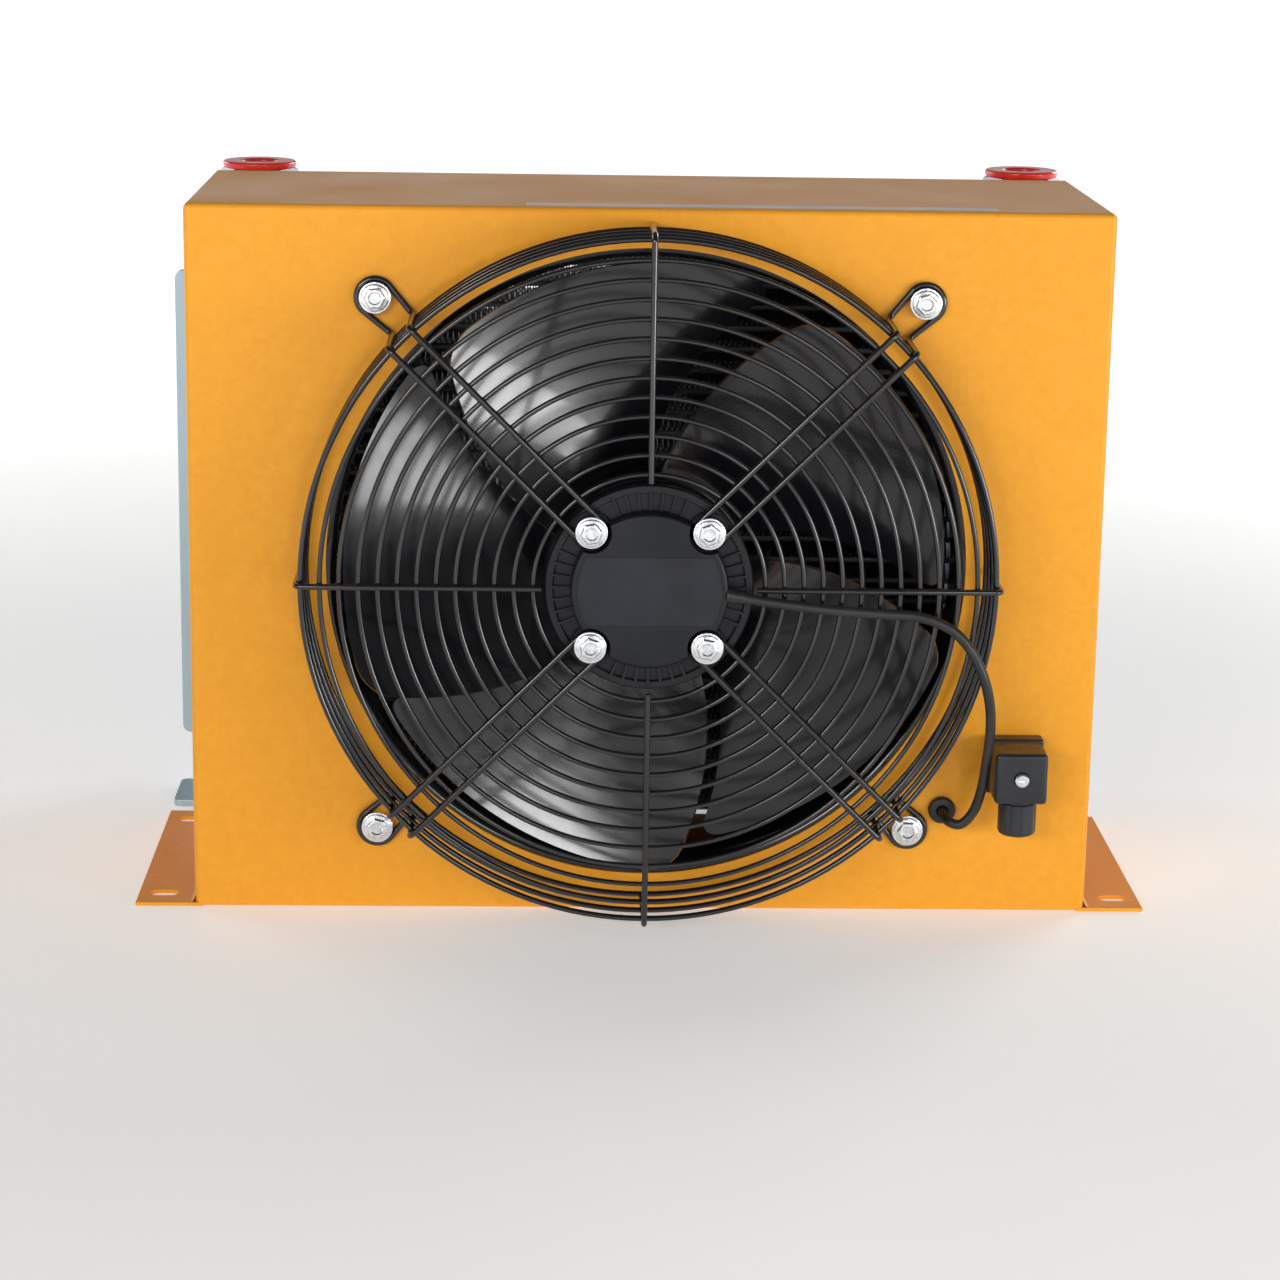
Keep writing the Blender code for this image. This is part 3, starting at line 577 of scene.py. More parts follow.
def inlet_ring():
    """Black ring behind the opening, rolled into the duct that the blade tips run in."""
    rim, sheet, roll = OPENING + 0.004, 0.0018, OPENING - DUCT
    front, back = -SHEET - GAP, -SHEET - 0.0260
    profile = [(rim, front), *arc(OPENING, front - roll, roll, 1, 1, 8),
               (DUCT, back), (DUCT + sheet, back),
               *arc(OPENING, front - roll, roll - sheet, 2, -1, 6), (rim, front - sheet)]
    piece("duct_ring", [turned(profile, 192).moved(FAN)], GUARD_COAT, ["inlet_ring"],
          sharp=50)


def foot(side):
    """Foot turned out from the side wall, with a rounded inner fold and two slots."""
    low_x, high_x = sorted((side * (HALF - 0.004), side * SHROUD_HIGH.x))
    plate = solid(block((low_x, PANEL_Y, 0), (high_x, SHROUD_BACK, SHEET)), 0.0004, 2)
    slot_x, slot_half, slot_radius = side * (HALF + 0.017), 0.003, 0.0045
    cutters = []
    for y in (PANEL_Y + 0.016, SHROUD_BACK - 0.016):
        outline = (arc(slot_x + slot_half, y, slot_radius, -1, 2, 12)
                   + arc(slot_x - slot_half, y, slot_radius, 1, 2, 12))
        cutters.append(solid(extruded(outline, -0.004, 0.006)))
    fold, sunk = 0.0030, 0.0005
    section = [(HALF - sunk, SHEET - sunk), (HALF + fold, SHEET - sunk),
               *arc(HALF + fold, SHEET + fold, fold, -1, -1, 8),
               (HALF - sunk, SHEET + fold), (HALF - sunk, SHEET - sunk)]
    rows = [[(side * x, y, z) for x, z in section]
            for y in (PANEL_Y + 0.0004, SHROUD_BACK - 0.0004)]
    return [cut(plate, cutters), solid(sheet_grid(rows))]


def lip_and_tab():
    """The top sheet turned down at the back, and out again over the core in its middle."""
    fold, corner = 0.0030, 0.010
    lip_half, lip_low = HALF - SHEET, CORE_HIGH.z + 0.0028
    tab_half, tab_top, tab_end = 0.168, CORE_HIGH.z + GAP + SHEET, SHROUD_BACK + 0.042
    down = rounded_path([(0, SHROUD_BACK - LIP_START, TOP), (0, SHROUD_BACK, TOP),
                         (0, SHROUD_BACK, lip_low)], fold, 6)
    lip = sheet_grid([[(x, p.y, p.z) for x in (-lip_half, -tab_half, 0, tab_half, lip_half)]
                      for p in down])
    out = rounded_path([(0, SHROUD_BACK, lip_low + 0.006), (0, SHROUD_BACK, tab_top),
                        (0, tab_end, tab_top)], fold, 6)
    spans = [(p.y, p.z, tab_half) for p in out[:-1]]
    spans += [(tab_end - corner, tab_top, tab_half), (tab_end, tab_top, tab_half - corner)]
    tab = sheet_grid([[(x, y, z) for x in np.linspace(-half, half, 9)] for y, z, half in spans])
    made = []
    for strip, thickness in ((lip, SHEET), (tab, SHEET - 0.0001)):
        bm = to_bmesh(strip)
        if sum(f.normal.z + f.normal.y for f in bm.faces) < 0:
            bmesh.ops.reverse_faces(bm, faces=bm.faces)
        soften = {"width": 0.0003, "segments": 2, "limit_method": "ANGLE",
                  "angle_limit": radians(60)}
        made.append(evaluated(thickened(to_mesh(bm), thickness, -1.0, True), [("BEVEL", soften)]))
    return made


def shroud():
    parts = [shroud_skin(), *lip_and_tab()]
    for _, side in SIDES:
        parts += foot(side)
    piece("shroud_sheet", parts, PAINT, ["fan_shroud"])
    # A thin pale beige strip laid on the top face near its front edge.
    strip = solid(block((-0.061, PANEL_Y + 0.008, TOP), (0.169, PANEL_Y + 0.019, TOP + 0.00015)),
                  0.00005, 1)
    piece("pale_top_strip", [strip], PALE_STRIP_FINISH)


# ---- core and tanks -------------------------------------------------------------------
def row_span(name):
    """Heights between which a fin row lies."""
    low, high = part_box(name)
    return low.z - GAP, high.z + GAP


def core_bars():
    """Flat tubes with rounded closing bars, between the end plates and the header blocks."""
    bar_half, header_inner, inset = 0.176, 0.174, 0.0006
    edges = [CORE_LOW.z, *(z for name in FIN_ROWS for z in row_span(name)), CORE_HIGH.z]
    bars = [solid(block((-bar_half, CORE_LOW.y, low), (bar_half, CORE_HIGH.y, high)), 0.0009)
            for low, high in zip(edges[::2], edges[1::2])]
    piece("core_bars", bars, BAR, ["core_frame"])
    blocks = []
    for _, side in SIDES:
        low_x, high_x = sorted((side * header_inner, side * CORE_HIGH.x))
        blocks.append(solid(block((low_x, CORE_LOW.y + inset, CORE_LOW.z),
                                  (high_x, CORE_HIGH.y - inset, CORE_HIGH.z)), 0.0006, 2))
    piece("header_blocks", blocks, ALLOY)


def header_weld(side):
    """Flat weld run from core to tank: slanted ripples, scalloped where each fin row ends."""
    middles = [sum(row_span(name)) / 2 for name in FIN_ROWS]
    pitch = middles[1] - middles[0]
    outer, count, columns = 0.1945, 900, 24
    rows = []
    for z in np.linspace(CORE_LOW.z, CORE_HIGH.z, count + 1):
        to_bar = abs((z - middles[0]) / pitch - round((z - middles[0]) / pitch))
        inner = 0.1742 - 0.0022 * cos(pi * to_bar) ** 0.7 + 0.0003 * sin(z * 1900)
        row = []
        for c in range(columns + 1):
            u = c / columns
            wave = z / 0.0028 + 2.1 * u + 0.6 * sin(z * 61) + 0.25 * sin(z * 233 + 2)
            scale = wave - floor(wave)
            fade = (1 - u) ** 1.4 * (0.75 + 0.25 * sin(z * 47 + 1))
            swell = min(1.0, 7 * u + 0.15) * (1.0 if u < 0.9 else 10 * (1 - u))
            rise = 0.0001 + 0.0005 * swell + 0.00042 * fade * scale
            if c == 0:
                rise = -0.0016
            if c == columns:
                rise = -0.0002
            row.append((side * (inner + (outer - inner) * u), CORE_HIGH.y + rise, z))
        rows.append(row)
    return solid(sheet_grid(rows))


def fins():
    """Folded fin strips, each offset by half a fold from the next one in depth."""
    fold, run, slack = 0.0030, 0.009, 0.00005
    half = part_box(FIN_ROWS[0])[1].x
    near, far = CORE_HIGH.y - 0.0012, CORE_LOW.y + 0.0012
    depths = (near, near - run, near - 2 * run, far + run, far)
    folds = int(2 * half / fold) - 1
    verts, faces = [], []
    for name in FIN_ROWS:
        low, high = row_span(name)
        low, high = low + slack, high - slack
        for k, (front, back) in enumerate(zip(depths, depths[1:])):
            line = []
            for i in range(folds):
                x = -half + fold * (i + 0.5 * (k % 2))
                line += [(x, low), (x + 0.0005, high), (x + 0.0015, high), (x + 0.0020, low)]
            start, n = len(verts), len(line)
            verts += [(x, y, z) for y in (front, back) for x, z in line]
            faces += [(i, i + 1, i + n + 1, i + n) for i in range(start, start + n - 1)]
    mesh = bpy.data.meshes.new("fins")
    mesh.from_pydata(verts, [], faces)
    piece("fin_strips", [thickened(mesh, 0.00025)], FIN, FIN_ROWS, sharp=20, weighted=False)


def tank(name, side):
    """End tank with rounded edges and the hole under its port."""
    low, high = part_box(f"tank_{name}")
    bore = hole(side * 0.205, (low.y + high.y) / 2, high.z, 0.010, 0.02, "Z")
    shell = cut(solid(block(low, high), 0.0016, 4), [bore])
    piece(f"tank_shell_{name}", [shell], ALLOY, [f"tank_{name}"])


def port(name):
    """Hexagon socket with chamfered corners and a stepped bore."""
    low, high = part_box(f"port_{name}")
    middle = (low + high) / 2
    reach, bottom = (high.x - low.x) / 2, low.z - 0.001
    body = solid(extruded(circle(middle.x, middle.y, reach, 6), low.z, high.z), 0.0003, 2)
    limit = turned([(0, bottom), (reach + 0.004, bottom), (reach + 0.004, high.z - 0.0030),
                    (reach - 0.0022, high.z), (0, high.z)], 64)
    limit = solid(limit.moved(Matrix.Translation((middle.x, middle.y, 0))))
    body = evaluated(body, [("BOOLEAN", {"operation": "INTERSECT", "cutter": limit})])
    body = cut(body, [hole(middle.x, middle.y, high.z, 0.0125, 0.032, "Z"),
                      hole(middle.x, middle.y, low.z, 0.010, 0.030, "Z")])
    piece(f"port_socket_{name}", [body], ALLOY, [f"port_{name}"], sharp=25)


def port_weld(name, side):
    """Weld round the six sides of a port's foot, kept clear of the tank's outer edge."""
    low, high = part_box(f"port_{name}")
    middle = (low + high) / 2
    centre = Vector((middle.x, middle.y, low.z + 0.0014))
    limit = HALF - 0.0012 - abs(middle.x)
    ring_path = []
    for angle in np.linspace(0, tau, 181):
        reach = 0.0186 / cos(angle % (pi / 3) - pi / 6)
        x = side * min(side * reach * cos(angle), limit)
        ring_path.append(centre + Vector((x, reach * sin(angle), 0)))

    def outward(point):
        return ((point - centre).normalized() + Vector((0, 0, 1.1))).normalized()

    def sideways(point):
        return ((point - centre).normalized() * 1.1 - Vector((0, 0, 1))).normalized()

    return solid(weld_bead(ring_path, sideways, outward, 0.0066, 0.0024, 0.0036, 0.7))


def bracket_welds(name, side):
    """Three short welds down the fold between bracket and tank."""
    low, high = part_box(f"bracket_{name}")
    x, y, half = side * (HALF - 0.008), CORE_HIGH.y + 0.0018, 0.0175
    return [solid(weld_bead([(x, y, z - half), (x, y, z + half)],
                            (side * 0.85, 0.53, 0), (-side * 0.53, 0.85, 0),
                            0.0105, 0.0028, 0.0044, 0.9))
            for z in (high.z - 0.018, (low.z + high.z) / 2, low.z + 0.018)]


def cap_weld(name):
    """Thin weld along the back edge of a tank's top."""
    low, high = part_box(f"tank_{name}")
    path = [(x, CORE_HIGH.y - 0.0006, high.z - 0.0012) for x in (low.x + 0.0015, high.x - 0.0015)]
    return solid(weld_bead(path, (0, 0.7, -0.7), (0, 0.7, 0.7), 0.0032, 0.0009, 0.0024))


def welds():
    """Core to tank, port to tank and bracket to tank."""
    runs = [header_weld(side) for _, side in SIDES]
    piece("header_welds", runs, ALLOY, sharp=40, weighted=False)
    runs = []
    for name, side in SIDES:
        runs += [port_weld(name, side), *bracket_welds(name, side), cap_weld(name)]
    piece("weld_runs", runs, WELD, sharp=60, weighted=False)


def port_plug(name):
    """Red transport plug: a flat rim, a hollow middle and a cross in it."""
    low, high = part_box(f"port_plug_{name}")
    centre = (low + high) / 2
    rim_low, rim = high.z - 0.0035, (high.x - low.x) / 2
    body, cup, floor_z = 0.0121, 0.0095, low.z + 0.0020
    outer_round, inner_round = 0.0012, 0.0014
    profile = [(0, low.z), (body - 0.0008, low.z), (body, low.z + 0.0008), (body, rim_low),
               (rim - 0.0006, rim_low), (rim - 0.0001, rim_low + 0.0006),
               *arc(rim - outer_round, high.z - outer_round, outer_round, 0, 1, 6),
               *arc(cup + inner_round, high.z - inner_round, inner_round, 1, 1, 6),
               (cup - 0.0004, floor_z + 0.0006), (cup - 0.0010, floor_z), (0, floor_z)]
    shape = turned(profile, 80).moved(Matrix.Translation((centre.x, centre.y, 0)))
    for turn in (0, QUARTER):
        place = Matrix.Translation((centre.x, centre.y, low.z + 0.003))
        shape.join(block((-0.0086, -0.0007, -0.0006), (0.0086, 0.0007, 0.0045)),
                   place @ Matrix.Rotation(turn, 4, "Z"))
    piece(f"red_plug_{name}", [shape], RED, [f"port_plug_{name}"],
          f"port_cap_{name}")


def bracket(name, side):
    """Mounting angle with a rounded fold, rounded free corners and two holes."""
    low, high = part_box(f"bracket_{name}")
    thick, nose, back = 0.005, 0.0045, high.y
    inner, outer, tip = HALF - thick, HALF, max(abs(low.x), abs(high.x))
    low_x, high_x = sorted((side * inner, side * outer))
    leg = block((low_x, low.y, low.z), (high_x, back - 0.004, high.z))
    section = [(inner, back - 0.006), *arc(outer, back - thick, thick, 2, -1, 8),
               (outer + 0.001, back), (outer + 0.001, back - thick), (outer, back - thick),
               (outer, back - 0.006)]
    fold = extruded([(side * x, y) for x, y in section], low.z, high.z)
    outline = [(outer + 0.0005, low.z), *arc(tip - nose, low.z + nose, nose, -1, 1, 8),
               *arc(tip - nose, high.z - nose, nose, 0, 1, 8), (outer + 0.0005, high.z)]
    plate = extruded([(side * x, z) for x, z in outline], -back, -(back - thick))
    middle = (low.z + high.z) / 2
    plate = cut(solid(plate.moved(FORWARDS), 0.0005, 2, 60),
                [hole(side * (HALF + 0.016), back, z, 0.0048, 0.03, "Y")
                 for z in (middle - 0.065, middle + 0.065)])
    parts = [solid(leg, 0.0005, 2), solid(fold, 0.0003, 1, 60), plate]
    piece(f"bracket_angle_{name}", parts, ROLLED, [f"bracket_{name}"])


def foot_bar():
    """Flat bar under the core, with rounded corners and a hole near each end."""
    low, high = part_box("rear_foot_bar")
    nose = 0.004
    outline = []
    for first, x, y in ((0, high.x - nose, high.y - nose), (1, low.x + nose, high.y - nose),
                        (2, low.x + nose, low.y + nose), (3, high.x - nose, low.y + nose)):
        outline += arc(x, y, nose, first, 1, 6)
    bar = solid(extruded(outline, low.z, high.z), 0.0006, 2, 60)
    bar = cut(bar, [hole(side * (high.x - 0.014), (low.y + high.y) / 2, 0.002, 0.0045, 0.02, "Z")
                    for _, side in SIDES])
    piece("foot_bar", [bar], ROLLED, ["rear_foot_bar"])


# ---- guard ----------------------------------------------------------------------------
RING_WIRE, ARM_WIRE, WIRE_BEND = 0.00125, 0.0016, 0.0034
RING_H, SPOKE_H = 0.0455, 0.0478      # in front of the panel
RIM_HEIGHTS = (0.0430, 0.030, 0.017, 0.0045)
GUARD_RADIUS, FIRST_RING, RINGS = 0.168, 0.056, 13
LUG, HUB, LOOP, LUG_LOOP = 0.1335, 0.0282, 0.007, 0.009


def ring(radius, height, wire):
    return turned(circle(radius, height, wire, 10), 144)


def nugget(x, y):
    """Flattened weld spot where a wire crosses a ring."""
    profile = [(0, 0.0011), (0.0011, 0.0009), (0.0019, 0.0003), (0.0021, -0.0006), (0, -0.0006)]
    return turned(profile, 10).moved(Matrix.Translation((x, y, RING_H + 0.0008)))


def looped_arm(reach):
    """Closed wire from a hub screw out over the rings, down the rim and round a panel screw."""
    hub, lug, rest = HUB * sqrt(2), LUG * sqrt(2), ARM_WIRE + 0.0004
    run = rounded_path([(hub, LOOP, SPOKE_H), (reach, LOOP, SPOKE_H), (reach, LOOP, rest),
                        (lug, LUG_LOOP, rest)], WIRE_BEND, 8)
    lug_end = [Vector((x, y, rest)) for x, y in arc(lug, 0, LUG_LOOP, 1, -2, 18)[1:-1]]
    hub_end = [Vector((x, y, SPOKE_H)) for x, y in arc(hub, 0, LOOP, -1, -2, 14)[1:-1]]
    back = [Vector((p.x, -p.y, p.z)) for p in reversed(run)]
    return swept(run + lug_end + back + hub_end, ARM_WIRE, 12, True)


def guard():
    """Welded wire basket: rings, four looped arms and four single wires."""
    radii = np.linspace(FIRST_RING, GUARD_RADIUS, RINGS)[:-1]
    shape = Shape()
    for radius in radii:
        shape.join(ring(radius, RING_H, RING_WIRE))
    for height in RIM_HEIGHTS:
        shape.join(ring(GUARD_RADIUS, height, RING_WIRE + 0.0002))
    side = GUARD_RADIUS + SPOKE_H - RING_H
    arm = looped_arm(sqrt(side ** 2 - LOOP ** 2))
    single = swept(rounded_path([(FIRST_RING - 0.004, 0, SPOKE_H), (side, 0, SPOKE_H),
                                 (side, 0, 0.0018)], WIRE_BEND, 8), ARM_WIRE - 0.0001, 12)
    for quarter in range(4):
        turn = Matrix.Rotation(QUARTER * (quarter + 0.5), 4, "Z")
        straight = Matrix.Rotation(QUARTER * quarter, 4, "Z")
        shape.join(arm, turn)
        shape.join(single, straight)
        for radius in radii:
            for y in (-LOOP, LOOP):
                shape.join(nugget(sqrt(radius ** 2 - y ** 2), y), turn)
            shape.join(nugget(radius, 0), straight)
    piece("wire_guard", [shape.moved(FAN)], GUARD_COAT, ["fan_guard"], sharp=50,
          weighted=False)


def flanged_screw(name, node, x, z, height, shank, length):
    """Hexagon screw with a washer under its head and a shallow dish in its top."""
    washer = [(0, 0), (0.0075, 0), (0.0078, 0.0003), (0.0078, 0.0011), (0.0074, 0.0014),
              (0, 0.0014)]
    thread = [(0, -length), (shank - 0.0003, -length), (shank, -length + 0.0004), (shank, 0.0001),
              (0, 0.0001)]
    flange = [(0, 0.0014), (0.0066, 0.0014), (0.0068, 0.0017), (0.0060, 0.0023), (0, 0.0026)]
    shape = turned(washer, 40).join(turned(thread, 20)).join(turned(flange, 40))
    reach = 0.0055
    levels = [(0.0022, 1.0), (0.0038, 1.0), (0.0043, 0.94), (0.0045, 0.84), (0.0045, 0.62),
              (0.0039, 0.50), (0.0039, 0.0)]
    rows = []
    for level, share in levels:
        row = []
        for angle in np.linspace(0, tau, 37):
            corner = cos(pi / 6) / cos((angle % (pi / 3)) - pi / 6)
            blend = min(1.0, max(0.0, (share - 0.62) / 0.3))
            size = reach * share * (corner * blend + 0.93 * (1 - blend))
            row.append((size * cos(angle), size * sin(angle), level))
        rows.append(row)
    shape.join(sheet_grid(rows))
    uneven_turn = Matrix.Rotation(x * 40 + z * 9, 4, "Z")
    place = FAN @ Matrix.Translation((x, z, height)) @ uneven_turn
    piece(name, [shape.moved(place)], ZINC, [node])


def screws():
    for corner, sx, sz in CORNERS:
        flanged_screw(f"guard_screw_{corner}", f"guard_bolt_{corner}", sx * LUG, sz * LUG,
                      0.0040, 0.0030, 0.016)
        flanged_screw(f"hub_screw_{corner}", f"hub_bolt_{corner}", sx * HUB, sz * HUB,
                      SPOKE_H + 0.0020, 0.0025, 0.010)


# ---- motor and impeller ---------------------------------------------------------------
def motor_end():
    """Fixed end of the motor: cap with four pads cut in, and a ribbed ring round it."""
    cap, pad = 0.0525, SPOKE_H - 0.0020
    profile = [(0, cap), (0.0360, cap), (0.0372, cap - 0.0004), (0.0380, cap - 0.0014),
               (0.0383, pad - 0.0030), (0.0462, pad - 0.0036), (0.0468, pad - 0.0018),
               (0.0498, pad - 0.0020), (0.0505, pad - 0.0032), (0.0505, 0.0384), (0.0490, 0.0378),
               (0.0125, 0.0362), (0.0125, -0.010), (0.0088, -0.010), (0.0088, 0.040), (0, 0.040)]
    post = turned([(0, 0.040), (0.0096, 0.040), (0.0098, pad - 0.0006), (0.0093, pad),
                   (0, pad)], 48)
    wells, shape = [], Shape()
    for _, side, height in CORNERS:
        place = Matrix.Translation((side * HUB, height * HUB, 0))
        wells.append(solid(cylinder(0.0098, pad, cap + 0.004).moved(place)))
        shape.join(post, place)
    body = cut(solid(turned(profile, 128)), wells)
    body.transform(FAN)
    rib = block((0.0375, -0.0006, pad - 0.0045), (0.0475, 0.0006, pad - 0.0012))
    ribs, clear = 48, 0.30
    for i in range(ribs):
        angle = tau * i / ribs
        past_pad = (angle - pi / 4 + clear) % QUARTER
        if past_pad >= 2 * clear:
            shape.join(rib, Matrix.Rotation(angle, 4, "Z"))
    piece("motor_end", [body, shape.moved(FAN)], CASTING, ["motor_flange"])
    radius, end = 0.0345, 0.50 / QUARTER
    film = arc(0, 0, radius, -end, 2 * end, 24) + arc(0, 0, radius, 2 - end, 2 * end, 24)
    face = solid(extruded(film, cap, cap + 0.00018).moved(FAN))
    piece("motor_label", [face], LABEL_FILM)


def rotor():
    """Outer rotor cup."""
    profile = [(0.0352, 0.0345), (0.0465, 0.0345), (0.0475, 0.0335), (0.0475, -0.0255),
               (0.0466, -0.0274), (0.0445, -0.0280), (0.0043, -0.0280), (0.0043, -0.0160),
               (0.0090, -0.0160), (0.0090, -0.0240), (0.0352, -0.0240)]
    piece("rotor_can", [turned(profile, 128).moved(FAN)], CASTING, ["rotor_shell"],
          "fan")


def blade_point(across, out, turn):
    """A point of a blade: across its chord, and out from hub to tip."""
    root, tip, chord = 0.0488, 0.150, radians(66)
    corner = max(0.0, (out - 0.90) / 0.10)
    trim = 0.075 * (1 - sqrt(1 - min(corner, 1.0) ** 2))
    across = trim + (1 - 2 * trim) * across
    radius = root + (tip - root) * out
    lean = radians(-25 * out)
    rise = 0.040 + 0.010 * out
    camber = 0.006 * (1 - (2 * across - 1) ** 2)
    angle = turn + lean + chord * across
    return Vector((radius * cos(angle), radius * sin(angle),
                   rise * (across - 0.5) - camber))


def impeller():
    """Hub ring with five broad sickle blades."""
    hub = [(0.0478, 0.0255), (0.0483, 0.0260), (0.0495, 0.0260), (0.0500, 0.0254),
           (0.0500, -0.0264), (0.0495, -0.0270), (0.0483, -0.0270), (0.0478, -0.0265)]
    parts = [turned(hub, 128).moved(FAN)]
    blades, steps = 5, 36
    for number in range(blades):
        turn = QUARTER + tau * number / blades
        rows = [[blade_point(i / steps, 1 - (1 - j / steps) ** 1.6, turn)
                 for i in range(steps + 1)] for j in range(steps + 1)]
        blade = thickened(solid(sheet_grid(rows)), 0.0015)
        blade.transform(FAN)
        parts.append(blade)
    piece("fan_blades", parts, BLADE_GLOSS, ["impeller"], "fan", sharp=50,
          weighted=False)


# ---- electrical connection ------------------------------------------------------------
def connector():
    """Square base, plug with rounded edges, ribbed gland and a slotted screw."""
    low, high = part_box("connector_base")
    base = solid(block(low, high), 0.0012)
    skirt = solid(block((low.x + 0.0006, low.y + 0.0003, low.z + 0.0006),
                        (high.x - 0.0006, low.y + 0.0020, high.z - 0.0006)), 0.0005, 2)
    piece("plug_base", [base, skirt], PLASTIC, ["connector_base"])

    low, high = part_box("connector_plug")
    centre_x, bottom = (low.x + high.x) / 2, high.z - (high.x - low.x)
    body = solid(block((low.x, low.y, bottom), (high.x, high.y, high.z)), 0.0022, 4)
    body = cut(body, [hole(centre_x, low.y, (bottom + high.z) / 2, 0.0040, 0.004, "Y")])
    seam = solid(block((low.x - 0.0002, high.y - 0.0012, bottom - 0.0002),
                       (high.x + 0.0002, high.y, high.z + 0.0002)), 0.0005, 2)
    piece("plug_body", [body, gland(centre_x, bottom, low.z), seam], PLASTIC,
          ["connector_plug"], "supply_plug", sharp=30)

    low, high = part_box("connector_screw")
    centre = (low + high) / 2
    head = turned([(0, 0), (0.0034, 0), (0.0035, 0.0004), (0.0034, 0.0014), (0.0027, 0.0020),
                   (0, 0.0020)], 40).join(cylinder(0.0015, -0.028, 0.0002, 16))
    place = Matrix.Translation((centre.x, low.y + 0.0020, centre.z)) @ FORWARDS
    slot = solid(block((centre.x - 0.005, low.y - 0.001, centre.z - 0.0004),
                       (centre.x + 0.005, low.y + 0.0009, centre.z + 0.0004)))
    piece("plug_screw", [cut(solid(head.moved(place)), [slot])], ZINC,
          ["connector_screw"], "supply_plug")


def gland(x, top, end):
    """Fluted cable gland under the plug, open at its end."""
    y, reach, flutes = PANEL_Y - 0.0222, 0.0095, 12
    levels = [(top + 0.002, 0.90), (top - 0.0012, 0.90), (top - 0.0016, 1.0),
              (end + 0.0022, 1.0), (end + 0.0008, 0.94), (end, 0.80), (end, 0.50),
              (end + 0.010, 0.47)]
    rows = []
    for level, share in levels:
        row = []
        for angle in np.linspace(0, tau, 121):
            flute = 0.035 * max(0.0, cos(angle * flutes)) if share == 1.0 else 0
            radius = reach * share * (1 - flute)
            row.append((x + radius * cos(angle), y + radius * sin(angle), level))
        rows.append(row)
    return solid(sheet_grid(rows))


def lead():
    """Motor lead: x, height above the fan's axis, and distance in front of the panel."""
    x, z = 0.1510, -0.1235
    route = [(0.0384, -0.002, 0.0503), (0.050, -0.004, 0.0503), (0.068, -0.0065, 0.0503),
             (0.090, -0.009, 0.0503), (0.112, -0.0105, 0.0503), (0.131, -0.012, 0.0503),
             (0.146, -0.018, 0.0503), (0.1565, -0.029, 0.0503), (0.1632, -0.043, 0.0500),
             (0.1670, -0.058, 0.0465), (0.1688, -0.074, 0.0375), (0.1690, -0.090, 0.0275),
             (0.1682, -0.106, 0.0205), (0.1650, -0.119, 0.0175), (0.1590, -0.1265, 0.0160),
             (x + 0.0022, z - 0.0025, 0.0130), (x, z, 0.0065), (x, z, 0.0005), (x, z, -0.0080)]
    cable = swept([FAN @ p for p in flowing(route, 0.0022)], 0.0025, 20)
    piece("motor_cable", [cable], RUBBER, ["motor_lead"], sharp=60, weighted=False)
    steps = [FAN @ Vector((0.0370 + 0.0012 * i, -0.0018 - 0.0002 * i, 0.0500)) for i in range(9)]
    relief = swept(steps, [0.0034, 0.0038, 0.0038, 0.0035, 0.0035, 0.0032, 0.0032, 0.0029,
                           0.0027], 20)
    piece("lead_entry", [relief], RUBBER)


def grommet():
    """Rubber ring in the panel round the lead."""
    low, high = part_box("grommet")
    bore, neck, lip, nose = 0.0026, 0.0049, 0.0068, 0.0012
    profile = [(bore, 0.0034), (bore + 0.0006, 0.0038), (lip - 0.0016, 0.0036),
               *arc(lip - nose, 0.0022, nose, 1, -1, 5), (lip, 0.0003), (neck, 0.0003),
               (neck, -0.0023), (lip, -0.0023), (lip, -0.0036), (bore, -0.0036)]
    place = Matrix.Translation(((low.x + high.x) / 2, PANEL_Y, (low.z + high.z) / 2)) @ FORWARDS
    piece("panel_grommet", [turned(profile, 48).moved(place)], RUBBER, ["grommet"])


def inner_nodes():
    """CAD pieces that stay as they are and get a finish."""
    for name, finish in (("stator", WINDING), ("bearing_front", BEARING),
                         ("bearing_rear", BEARING), ("motor_shaft", BEARING)):
        mesh = frame["nodes"][name].data
        mesh.materials.clear()
        mesh.materials.append(finish)


# ---- stage ----------------------------------------------------------------------------
FRONT_AIM, BACK_AIM = (0, -0.05, 0.18), (0, 0, 0.15)
SOFTBOXES = (("key", (-1.35, -2.70, 1.00), FRONT_AIM, 1.6, 0.40, 29),
             ("side", (1.55, -1.32, 0.25), (0, -0.05, 0.26), 0.9, 0.42, 13),
             ("front", (0.80, -2.45, 0.65), (0, -0.05, 0.20), 0.45, 0.45, 5),
             ("back_right", (1.90, 2.00, 1.00), BACK_AIM, 1.6, 1.4, 36),
             ("back_left", (-2.20, 1.80, 0.90), BACK_AIM, 1.4, 1.2, 20))


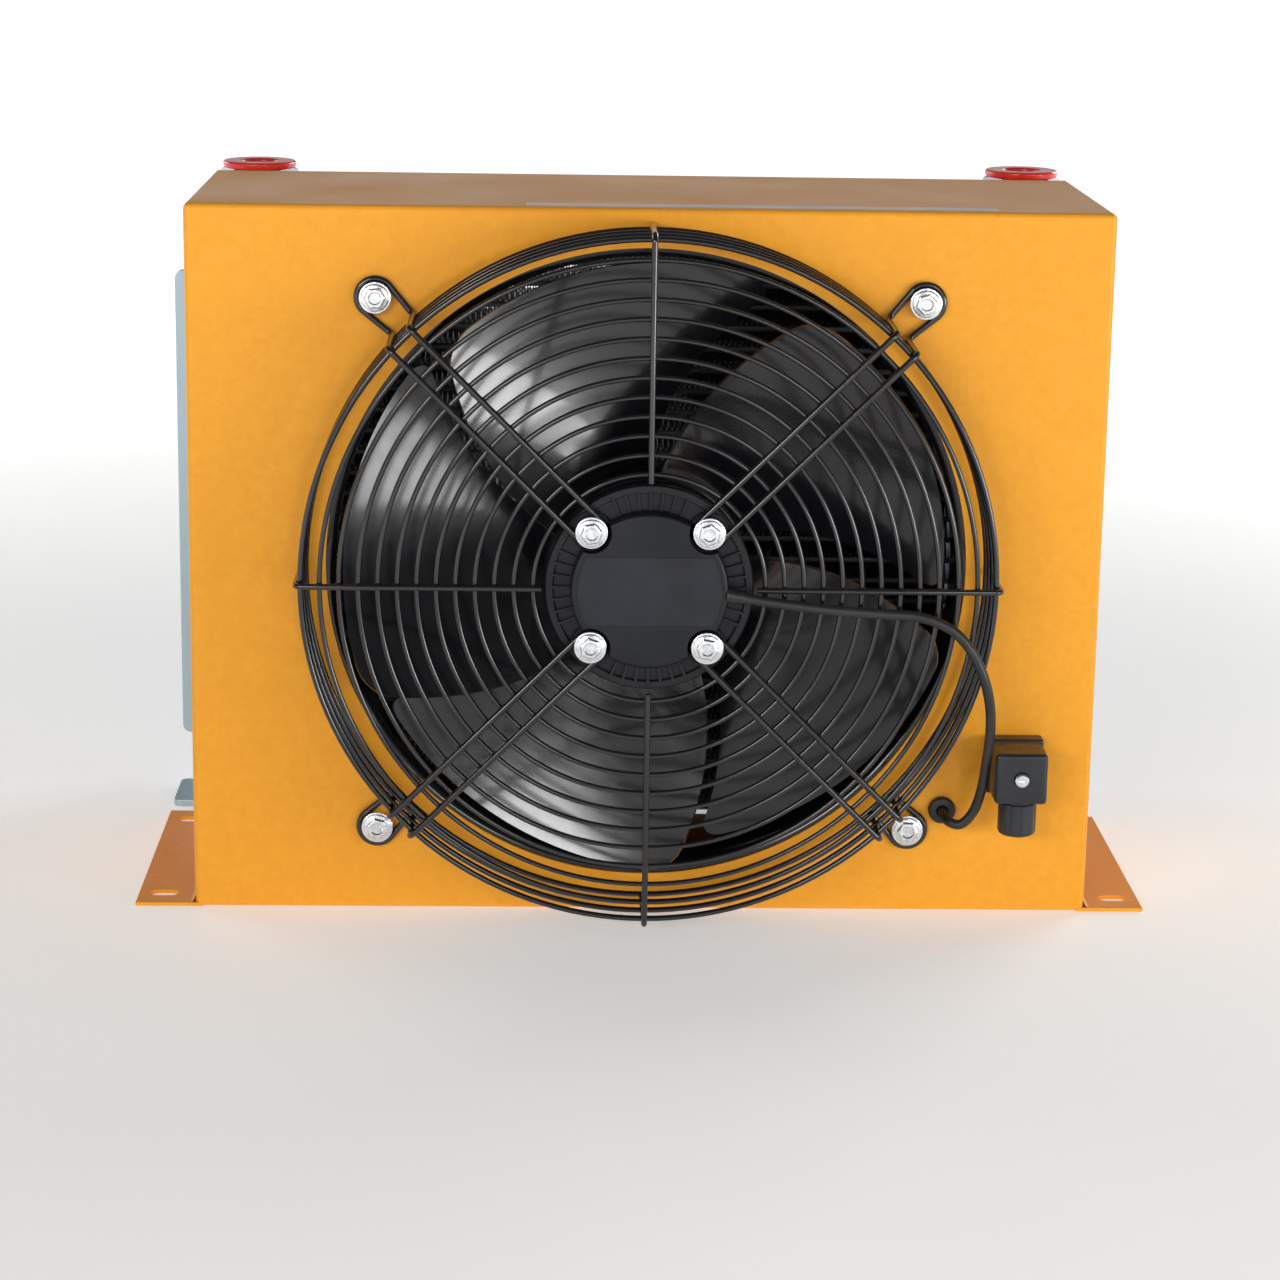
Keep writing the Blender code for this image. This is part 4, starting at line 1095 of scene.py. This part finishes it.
def pale_floor():
    """Wide disc under the part that glows more with the distance from it."""
    rows = [[(x, y, -0.0002) for x, y in arc(0, 0, radius, 0, 4, 64)]
            for radius in (0.0, 0.6, 1.5, 4.0, 14.0, 90.0)]
    mesh = solid(sheet_grid(rows))
    ground = Finish("pale_floor", specular=0.2)
    ground.base(ground.colour((0.80, 0.80, 0.79), (0.83, 0.83, 0.82), ground.noise(3, 3)))
    ground.rough(0.60, 0.70, ground.noise(20, 3))
    ground.set("Emission Color", (1.0, 0.995, 0.985, 1))
    distance = ground.tree.nodes.new("ShaderNodeVectorMath")
    distance.operation = "LENGTH"
    ground.link(ground.place.outputs["Object"], distance.inputs[0])
    glow = ground.mapped(distance.outputs["Value"], 0.4, 2.4, 0.36, 0.90, "SMOOTHSTEP")
    ground.link(glow, ground.shader.inputs["Emission Strength"])
    mesh.materials.append(ground.made)
    add_object("floor", mesh)


def studio_world():
    """White at the horizon and dim overhead."""
    world = bpy.data.worlds.new("studio")
    bpy.context.scene.world = world
    world.use_nodes = True
    tree = world.node_tree
    place = tree.nodes.new("ShaderNodeTexCoord")
    split = tree.nodes.new("ShaderNodeSeparateXYZ")
    ramp = tree.nodes.new("ShaderNodeValToRGB")
    ramp.color_ramp.elements.new(0.06)
    for element, at, tone in zip(ramp.color_ramp.elements, (0.0, 0.06, 0.45), (1.0, 0.79, 0.12)):
        element.position = at
        element.color = (tone, tone, tone * 1.02, 1)
    tree.links.new(place.outputs["Generated"], split.inputs["Vector"])
    tree.links.new(split.outputs["Z"], ramp.inputs["Fac"])
    tree.links.new(ramp.outputs["Color"], tree.nodes["Background"].inputs["Color"])
    bpy.context.scene.view_settings.view_transform = "Standard"


def softbox(name, place, aim, width, height, power):
    """A rectangular light; width and height in metres, power in watts."""
    data = bpy.data.lights.new(name, "AREA")
    data.shape = "RECTANGLE"
    data.size, data.size_y = width, height
    data.energy = power
    light = add_object(name, data)
    light.location = place
    light.rotation_euler = (Vector(aim) - Vector(place)).to_track_quat("-Z", "Y").to_euler()


# ---- assembly -------------------------------------------------------------------------
shroud()
inlet_ring()
core_bars()
fins()
for tank_name, tank_side in SIDES:
    tank(tank_name, tank_side)
    port(tank_name)
    port_plug(tank_name)
    bracket(tank_name, tank_side)
foot_bar()
welds()
guard()
screws()
motor_end()
rotor()
impeller()
connector()
lead()
grommet()
inner_nodes()
pale_floor()
studio_world()
for setting in SOFTBOXES:
    softbox(*setting)

bpy.context.view_layer.update()
